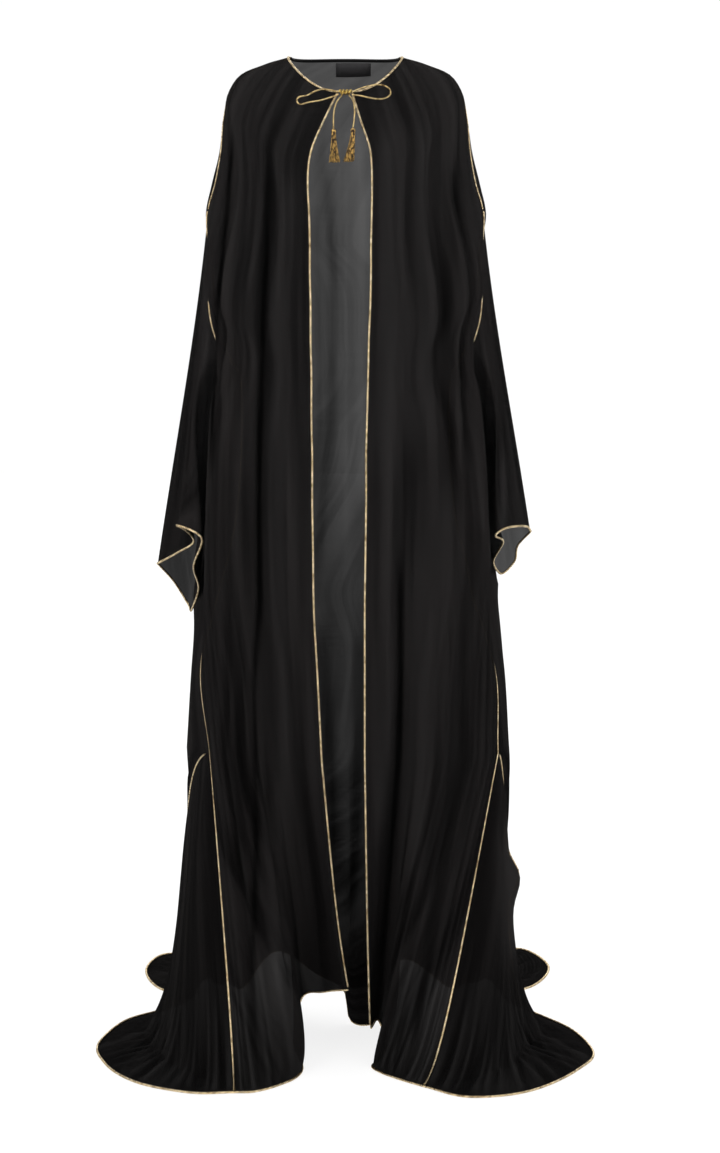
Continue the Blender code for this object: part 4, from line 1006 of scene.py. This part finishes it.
def clothe(name, grid, material, closed=False, wall=CLOTH, flip=False, panel=""):
    """A cloth piece: a grid of faces through the middle of the wall, with a fine wall of its own, and its
    panel's painted crease shade and light stored on its points.
    """
    rows, columns = grid.shape[:2]
    index = np.arange(rows * columns).reshape(rows, columns)
    beside = np.roll(index, -1, axis=1)
    last = columns if closed else columns - 1
    faces = np.stack([index[:-1, :last], index[1:, :last], beside[1:, :last], beside[:-1, :last]], axis=-1)
    if flip:
        faces = faces[..., ::-1]
    faces = faces.reshape(-1, 4)
    mesh = bpy.data.meshes.new(name)
    mesh.from_pydata(grid.reshape(-1, 3).tolist(), [], faces.tolist())
    across = np.cumsum(np.linalg.norm(np.diff(grid, axis=1, prepend=grid[:, :1]), axis=2), axis=1)
    down = np.cumsum(np.linalg.norm(np.diff(grid, axis=0, prepend=grid[:1]), axis=2), axis=0)
    spread = np.stack([across, down], axis=-1).reshape(-1, 2)
    layer = mesh.uv_layers.new(name="UVMap")
    layer.data.foreach_set("uv", spread[faces.ravel()].ravel().astype(np.float32))
    # Painted crease shade and light, also used as the cloth's density, for the chiffon's colour and opacity
    mesh.attributes.new("gather", "FLOAT", "POINT")
    depths = crease_shade_and_density_depths(panel, grid, 1 if flip else -1).ravel().astype(np.float32)
    mesh.attributes["gather"].data.foreach_set("value", depths)
    mesh.materials.append(material)
    mesh.shade_smooth()
    piece = link(name, mesh)
    weld = piece.modifiers.new("Weld", "WELD")
    weld.merge_threshold = WELD
    shell = piece.modifiers.new("Wall", "SOLIDIFY")
    shell.thickness = wall
    shell.offset = 0.0
    return piece


def rope_group(name, material):
    """Geometry Nodes for a twisted cord: a lobed section swept along a line, turning as it goes."""
    group = bpy.data.node_groups.new(name, "GeometryNodeTree")
    interface = group.interface
    interface.new_socket("Geometry", in_out="INPUT", socket_type="NodeSocketGeometry")
    for size in ROPE_SIZES:
        interface.new_socket(size, in_out="INPUT", socket_type="NodeSocketFloat")
    interface.new_socket("Geometry", in_out="OUTPUT", socket_type="NodeSocketGeometry")
    tree = Tree(group)
    given = group.nodes.new("NodeGroupInput").outputs
    take = {size: Wire(tree, given[size]) for size in ("Geometry", *ROPE_SIZES)}
    line = tree.node("GeometryNodeResampleCurve", {"mode": "LENGTH"},
                     {"Curve": take["Geometry"], "Length": take["Step"]})
    length = tree.node("GeometryNodeSplineParameter", output="Length")
    line = tree.node("GeometryNodeSetCurveTilt", None, {"Curve": line, "Tilt": length * take["Turn"]})
    ring = tree.node("GeometryNodeCurvePrimitiveCircle", None,
                     {"Resolution": LOBES * LOBE_POINTS, "Radius": take["Radius"]})
    turn = tree.node("GeometryNodeInputIndex") * (2 * math.pi / LOBE_POINTS)
    swell = turn.cosine()
    scaled = tree.node("ShaderNodeVectorMath", {"operation": "SCALE"}, {
        0: tree.node("GeometryNodeInputPosition"), "Scale": 1.0 - LOBE_DEPTH * (0.5 - swell * 0.5)})
    ring = tree.node("GeometryNodeSetPosition", None, {"Geometry": ring, "Position": scaled})
    ring = tree.node("GeometryNodeStoreNamedAttribute", {"data_type": "FLOAT", "domain": "POINT"},
                     {"Geometry": ring, "Name": "lay", "Value": 0.5 + swell * 0.5})
    tube = tree.node("GeometryNodeCurveToMesh", None,
                     {"Curve": line, "Profile Curve": ring, "Fill Caps": True})
    tube = tree.node("GeometryNodeRealizeInstances", None, {"Geometry": tube})
    tube = tree.node("GeometryNodeSetMaterial", None, {"Geometry": tube, "Material": material})
    ending = group.nodes.new("NodeGroupOutput")
    tree.feed(ending.inputs["Geometry"], tube)
    return group


def set_input(modifier, group, name, value):
    for item in group.interface.items_tree:
        if item.item_type == "SOCKET" and item.in_out == "INPUT" and item.name == name:
            modifier[item.identifier] = value


def line_through(name, points, closed=False):
    """A line through points, as a curve."""
    curve = bpy.data.curves.new(name, "CURVE")
    curve.dimensions = "3D"
    spline = curve.splines.new("POLY")
    spline.points.add(len(points) - 1)
    for knot, point in zip(spline.points, points):
        knot.co = (*point, 1.0)
    spline.use_cyclic_u = closed
    return link(name + "_line", curve)


def shaped(name, line):
    """A line's evaluated shape as a plain mesh; the line itself goes."""
    bpy.context.view_layer.update()
    mesh = bpy.data.meshes.new_from_object(line.evaluated_get(bpy.context.evaluated_depsgraph_get()))
    mesh.name = name
    bpy.data.objects.remove(line, do_unlink=True)
    mesh.shade_smooth()
    return link(name, mesh)


def rope(name, points, diameter, group, closed=False):
    """A twisted cord along its points, as a plain mesh."""
    line = line_through(name, points, closed)
    length = lengths_along(points)[-1]
    if closed:
        length += np.linalg.norm(points[-1] - points[0])
    turns = max(1, round(length / LAY_LENGTH * LOBES)) / LOBES
    modifier = line.modifiers.new("Twist", "NODES")
    modifier.node_group = group
    sizes = (diameter / 2, 2 * math.pi * turns / length, LAY_LENGTH / STEPS_A_LAY)
    for size, value in zip(ROPE_SIZES, sizes):
        set_input(modifier, group, size, float(value))
    return shaped(name, line)


def tube(name, points, diameter, material):
    """A plain round tube as a mesh, closed at its ends."""
    line = line_through(name, points)
    line.data.bevel_depth = diameter / 2
    line.data.bevel_resolution = TUBE_ROUNDNESS
    line.data.use_fill_caps = True
    piece = shaped(name, line)
    piece.data.materials.append(material)
    return piece


def add_label(back, normals, material):
    """A bare woven patch inside the back neck, from the back's own points moved in."""
    inside = back[:LEVELS[1] + 1] - normals[:LEVELS[1] + 1] * (WALL + GAP + LABEL_WALL / 2)
    patch = []
    for drop in np.linspace(*LABEL_DOWN, LABEL_GRID[1] + 1):
        row = min(int(np.searchsorted(DROPS, drop, side="right")) - 1, LEVELS[1] - 1)
        share = (drop - DROPS[row]) / (DROPS[row + 1] - DROPS[row])
        line = inside[row] + (inside[row + 1] - inside[row]) * share
        patch.append([[np.interp(across, line[:, 0], line[:, axis]) for axis in range(3)]
                      for across in np.linspace(*LABEL_ACROSS, LABEL_GRID[0] + 1)])
    return clothe("bare_label", np.array(patch), material, wall=LABEL_WALL, flip=True)


def sweep(points, faces, line, widths, sides):
    """Add a closed tube of rings round a line to a mesh's points and faces."""
    base = len(points)
    for place, width in zip(line, widths):
        for side in range(sides):
            angle = 2 * math.pi * side / sides
            points.append(place + Vector((math.cos(angle), math.sin(angle), 0)) * width)
    last = base + (len(line) - 1) * sides
    for low in range(base, last, sides):
        for side in range(sides):
            beside = (side + 1) % sides
            high = low + sides
            faces.append((low + side, high + side, high + beside, low + beside))
    faces.append(tuple(base + side for side in range(sides)))
    faces.append(tuple(last + side for side in reversed(range(sides))))


def tassel(name, top, lean, material, seed):
    """A tassel: a wound head, and a skirt of threads that flare below it."""
    draw = random.Random(seed)
    top = Vector(top) - Vector((0, 0, GAP + CORD_ROOM))
    root = top - Vector((0, 0, TASSEL_HEAD * TASSEL_ROOT))
    narrow = TASSEL_HEAD * TASSEL_NECK
    points, faces = [], []
    sweep(points, faces, [top - Vector((0, 0, share * TASSEL_HEAD * 2)) for share, _ in TASSEL_PROFILE],
          [TASSEL_HEAD * width for _, width in TASSEL_PROFILE], TASSEL_HEAD_SIDES)
    for index in range(TASSEL_STRANDS):
        angle = 2 * math.pi * index * GOLDEN_TURN
        share = math.sqrt((index + 0.5) / TASSEL_STRANDS)
        spread = Vector((math.cos(angle), math.sin(angle), 0))
        length = TASSEL_LENGTH * draw.uniform(SHORTEST_STRAND, 1.0)
        wave = draw.uniform(-STRAND_WAVE, STRAND_WAVE)
        line = []
        for step in range(STRAND_STEPS + 1):
            part = step / STRAND_STEPS
            out = spread * (narrow + (TASSEL_FLARE - narrow) * part ** 1.4) * share
            sway = Vector(lean) * part ** 1.5 + Vector((-spread.y, spread.x, 0)) * wave * math.sin(3 * part)
            line.append(root + out + sway - Vector((0, 0, length * part)))
        sweep(points, faces, line, [STRAND_RADIUS] * len(line), STRAND_SIDES)
    mesh = bpy.data.meshes.new(name)
    mesh.from_pydata([tuple(point) for point in points], [], faces)
    mesh.materials.append(material)
    mesh.shade_smooth()
    return link(name, mesh)


def mid_wall(grid, normals):
    """The middle of the solid's wall, from its outer face."""
    return grid - normals * WALL / 2


def dress(piece, node):
    """Hide a piece's solid, which the piece stands in for, and hang the piece on the root body."""
    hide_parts(node)
    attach(piece, "root")


chiffon = chiffon_finish("black chiffon", FRONT_DENSITY)
godet_chiffon = chiffon_finish("black chiffon of the godets", GODET_DENSITY)
sleeve_chiffon = {-1: chiffon_finish("black chiffon of the left sleeve", SLEEVE_DENSITY_LEFT),
                  1: chiffon_finish("black chiffon of the right sleeve", SLEEVE_DENSITY)}
back_chiffon = chiffon_finish("black chiffon of the back", BACK_DENSITY)
thread = thread_finish()
twists = {cord: rope_group("Twisted " + cord, gold_finish("twisted gold " + cord, *colours))
          for cord, colours in GOLDS.items()}

bpy.context.scene.view_settings.view_transform = "Standard"

# The camera stands where the photograph's did
camera_data = bpy.data.cameras.new("camera")
camera_data.lens = CAMERA_LENS
camera_data.sensor_width = CAMERA_SENSOR
camera = link("camera", camera_data)
camera.location = CAMERA_PLACE
camera.rotation_euler = (math.radians(CAMERA_TILT), 0.0, 0.0)
bpy.context.scene.camera = camera

# The cloth
KNEE = len(DROPS) - 1
back = back_grid()
fronts = {side: front_grid(side) for side in SIDES}
for side, front in fronts.items():
    seam = BACK_SEAM[side]
    back[:ARMHOLE[0] + 1, seam] = front[:ARMHOLE[0] + 1, -1]
    back[ARMHOLE[1]:len(DROPS), seam] = front[ARMHOLE[1]:len(DROPS), -1]
back_normals = grid_normals(back)
pieces = {}
hems = {}
cords = []

for side, word in SIDES.items():
    seam = BACK_SEAM[side]
    front = fronts[side]
    normals = grid_normals(front) * -side
    godet = godet_grid(side, front[KNEE, -1])
    godet_normals = grid_normals(godet) * -side
    godet_normals[:2] = godet_normals[2]
    loop, around = armhole_loop(front, back, side)
    sleeve = sleeve_grid(side, loop, around)
    sleeve_normals = side * grid_normals(sleeve)

    for kind, grid, outward, material, closed in (
            ("front", front, normals, chiffon, False),
            ("godet", godet, godet_normals, godet_chiffon, False),
            ("sleeve", sleeve, sleeve_normals, sleeve_chiffon[side], True)):
        panel = kind + "_" + word
        flip = side > 0 if closed else side < 0
        pieces[panel] = clothe(kind + "_cloth_" + word, mid_wall(grid, outward), material, closed=closed,
                               flip=flip, panel=panel)

    centre = mid_wall(front[:, 0], normals[:, 0])
    neck = mid_wall(front[0], normals[0])
    edge = np.concatenate([neck[::-1], centre[1:]])
    seam_normals = normals[:, -1].copy()
    seam_normals[:KNEE + 1] = unit(seam_normals[:KNEE + 1] + back_normals[:KNEE + 1, seam])
    seam_normals[KNEE + 1:] = unit(seam_normals[KNEE + 1:] + godet_normals[1:, 0])
    godet_side = unit(godet_normals[:, -1] + back_normals[KNEE:, seam])
    seam_line = mid_wall(front[:, -1], seam_normals)
    side_seam = off_floor(seam_line[ARMHOLE[1]:], PIPING)
    godet_seam = off_floor(mid_wall(godet[:, -1], godet_side), PIPING)
    hems[side] = np.concatenate([front[-1], godet[-1][1:-1]])
    cords += [
        ("edge_" + word, shorten(edge, JOINT, JOINT), False),
        ("shoulder_" + word, shorten(seam_line[:ARMHOLE[0] + 1], JOINT, JOINT), False),
        ("armhole_" + word, loop, True),
        ("side_" + word, shorten(side_seam, 2 * JOINT, 1.5 * JOINT), False),
        ("godet_" + word, shorten(godet_seam, 5 * JOINT, JOINT), False),
        ("sleeve_" + word, sleeve[-1], True),
    ]

pieces["back"] = clothe("back_cloth", mid_wall(back, back_normals), back_chiffon, flip=True, panel="back")
hem = np.concatenate([hems[-1], back[-1], hems[1][::-1]])
cords.append(("hem", off_floor(hem, PIPING), False))

for node, piece in pieces.items():
    dress(piece, node)

for name, points, closed in cords:
    dress(rope("gold_cord_" + name, points, VISIBLE_PIPING, twists["piping"], closed), "piping_" + name)

neck = shorten(mid_wall(back[0], back_normals[0]), JOINT, JOINT)
dress(tube("rolled_neck_binding", neck, BINDING, ribbon_finish()), "neck_binding")
dress(add_label(back, back_normals, label_finish()), "neck_label")

# The tie
wraps = []
for step in range(KNOT_STEPS + 1):
    share = step / KNOT_STEPS
    angle = 2 * math.pi * KNOT_TURNS * share
    wraps.append((KNOT_CENTRE[0] + (share - 0.5) * KNOT_LENGTH,
                  KNOT_CENTRE[1] - math.cos(angle) * KNOT_RADIUS,
                  KNOT_CENTRE[2] + math.sin(angle) * KNOT_RADIUS))
dress(rope("knot_of_tie", wraps, KNOT_CORD, twists["knot"]), "tie_knot")

routes = {-1: (LOOP_LEFT, TAIL_LEFT), 1: (LOOP_RIGHT, TAIL_RIGHT)}
for side, word in SIDES.items():
    loop_route, tail_route = routes[side]
    loop_points = eased(smooth_route(loop_route, ROUTE_STEP), LOOP_EASING)
    tail_points = smooth_route(tail_route, ROUTE_STEP)
    bow = rope("bow_loop_" + word, loop_points, TIE_CORD, twists["tie cord"])
    tail = rope("tie_end_" + word, tail_points, TIE_CORD, twists["tie cord"])
    fringe = tassel("thread_tassel_" + word, tail_route[-1], TASSEL_LEAN[side], thread, TASSEL_SEED + side)
    dress(bow, "tie_loop_" + word)
    dress(tail, "tie_tail_" + word)
    dress(fringe, "tassel_" + word)

# The studio: a wide pale floor under a white sky
corners = ((-1, -1), (1, -1), (1, 1), (-1, 1))
mesh = bpy.data.meshes.new("studio_floor")
mesh.from_pydata([(x * FLOOR_REACH, y * FLOOR_REACH, FLOOR) for x, y in corners], [], [(0, 1, 2, 3)])
paper = Finish("studio paper", Roughness=0.9, Emission_Strength=FLOOR_GLOW)
paper.set("Base Color", (FLOOR_GREY, FLOOR_GREY, FLOOR_GREY, 1.0))
paper.set("Emission Color", (1.0, 1.0, 1.0, 1.0))
mesh.materials.append(paper.material)
floor = link("studio_floor", mesh)

world = bpy.data.worlds.new("studio")
bpy.context.scene.world = world
world.use_nodes = True
sky = world.node_tree.nodes["Background"].inputs
sky["Color"].default_value = (1.0, 1.0, 1.0, 1.0)
sky["Strength"].default_value = SKY_STRENGTH

for name, place, aim, size, power in LAMPS:
    data = bpy.data.lights.new(name, "AREA")
    data.shape = "DISK"
    data.size = size
    data.energy = power
    lamp = link(name, data)
    lamp.location = place
    lamp.rotation_euler = (Vector(aim) - Vector(place)).to_track_quat("-Z", "Y").to_euler()
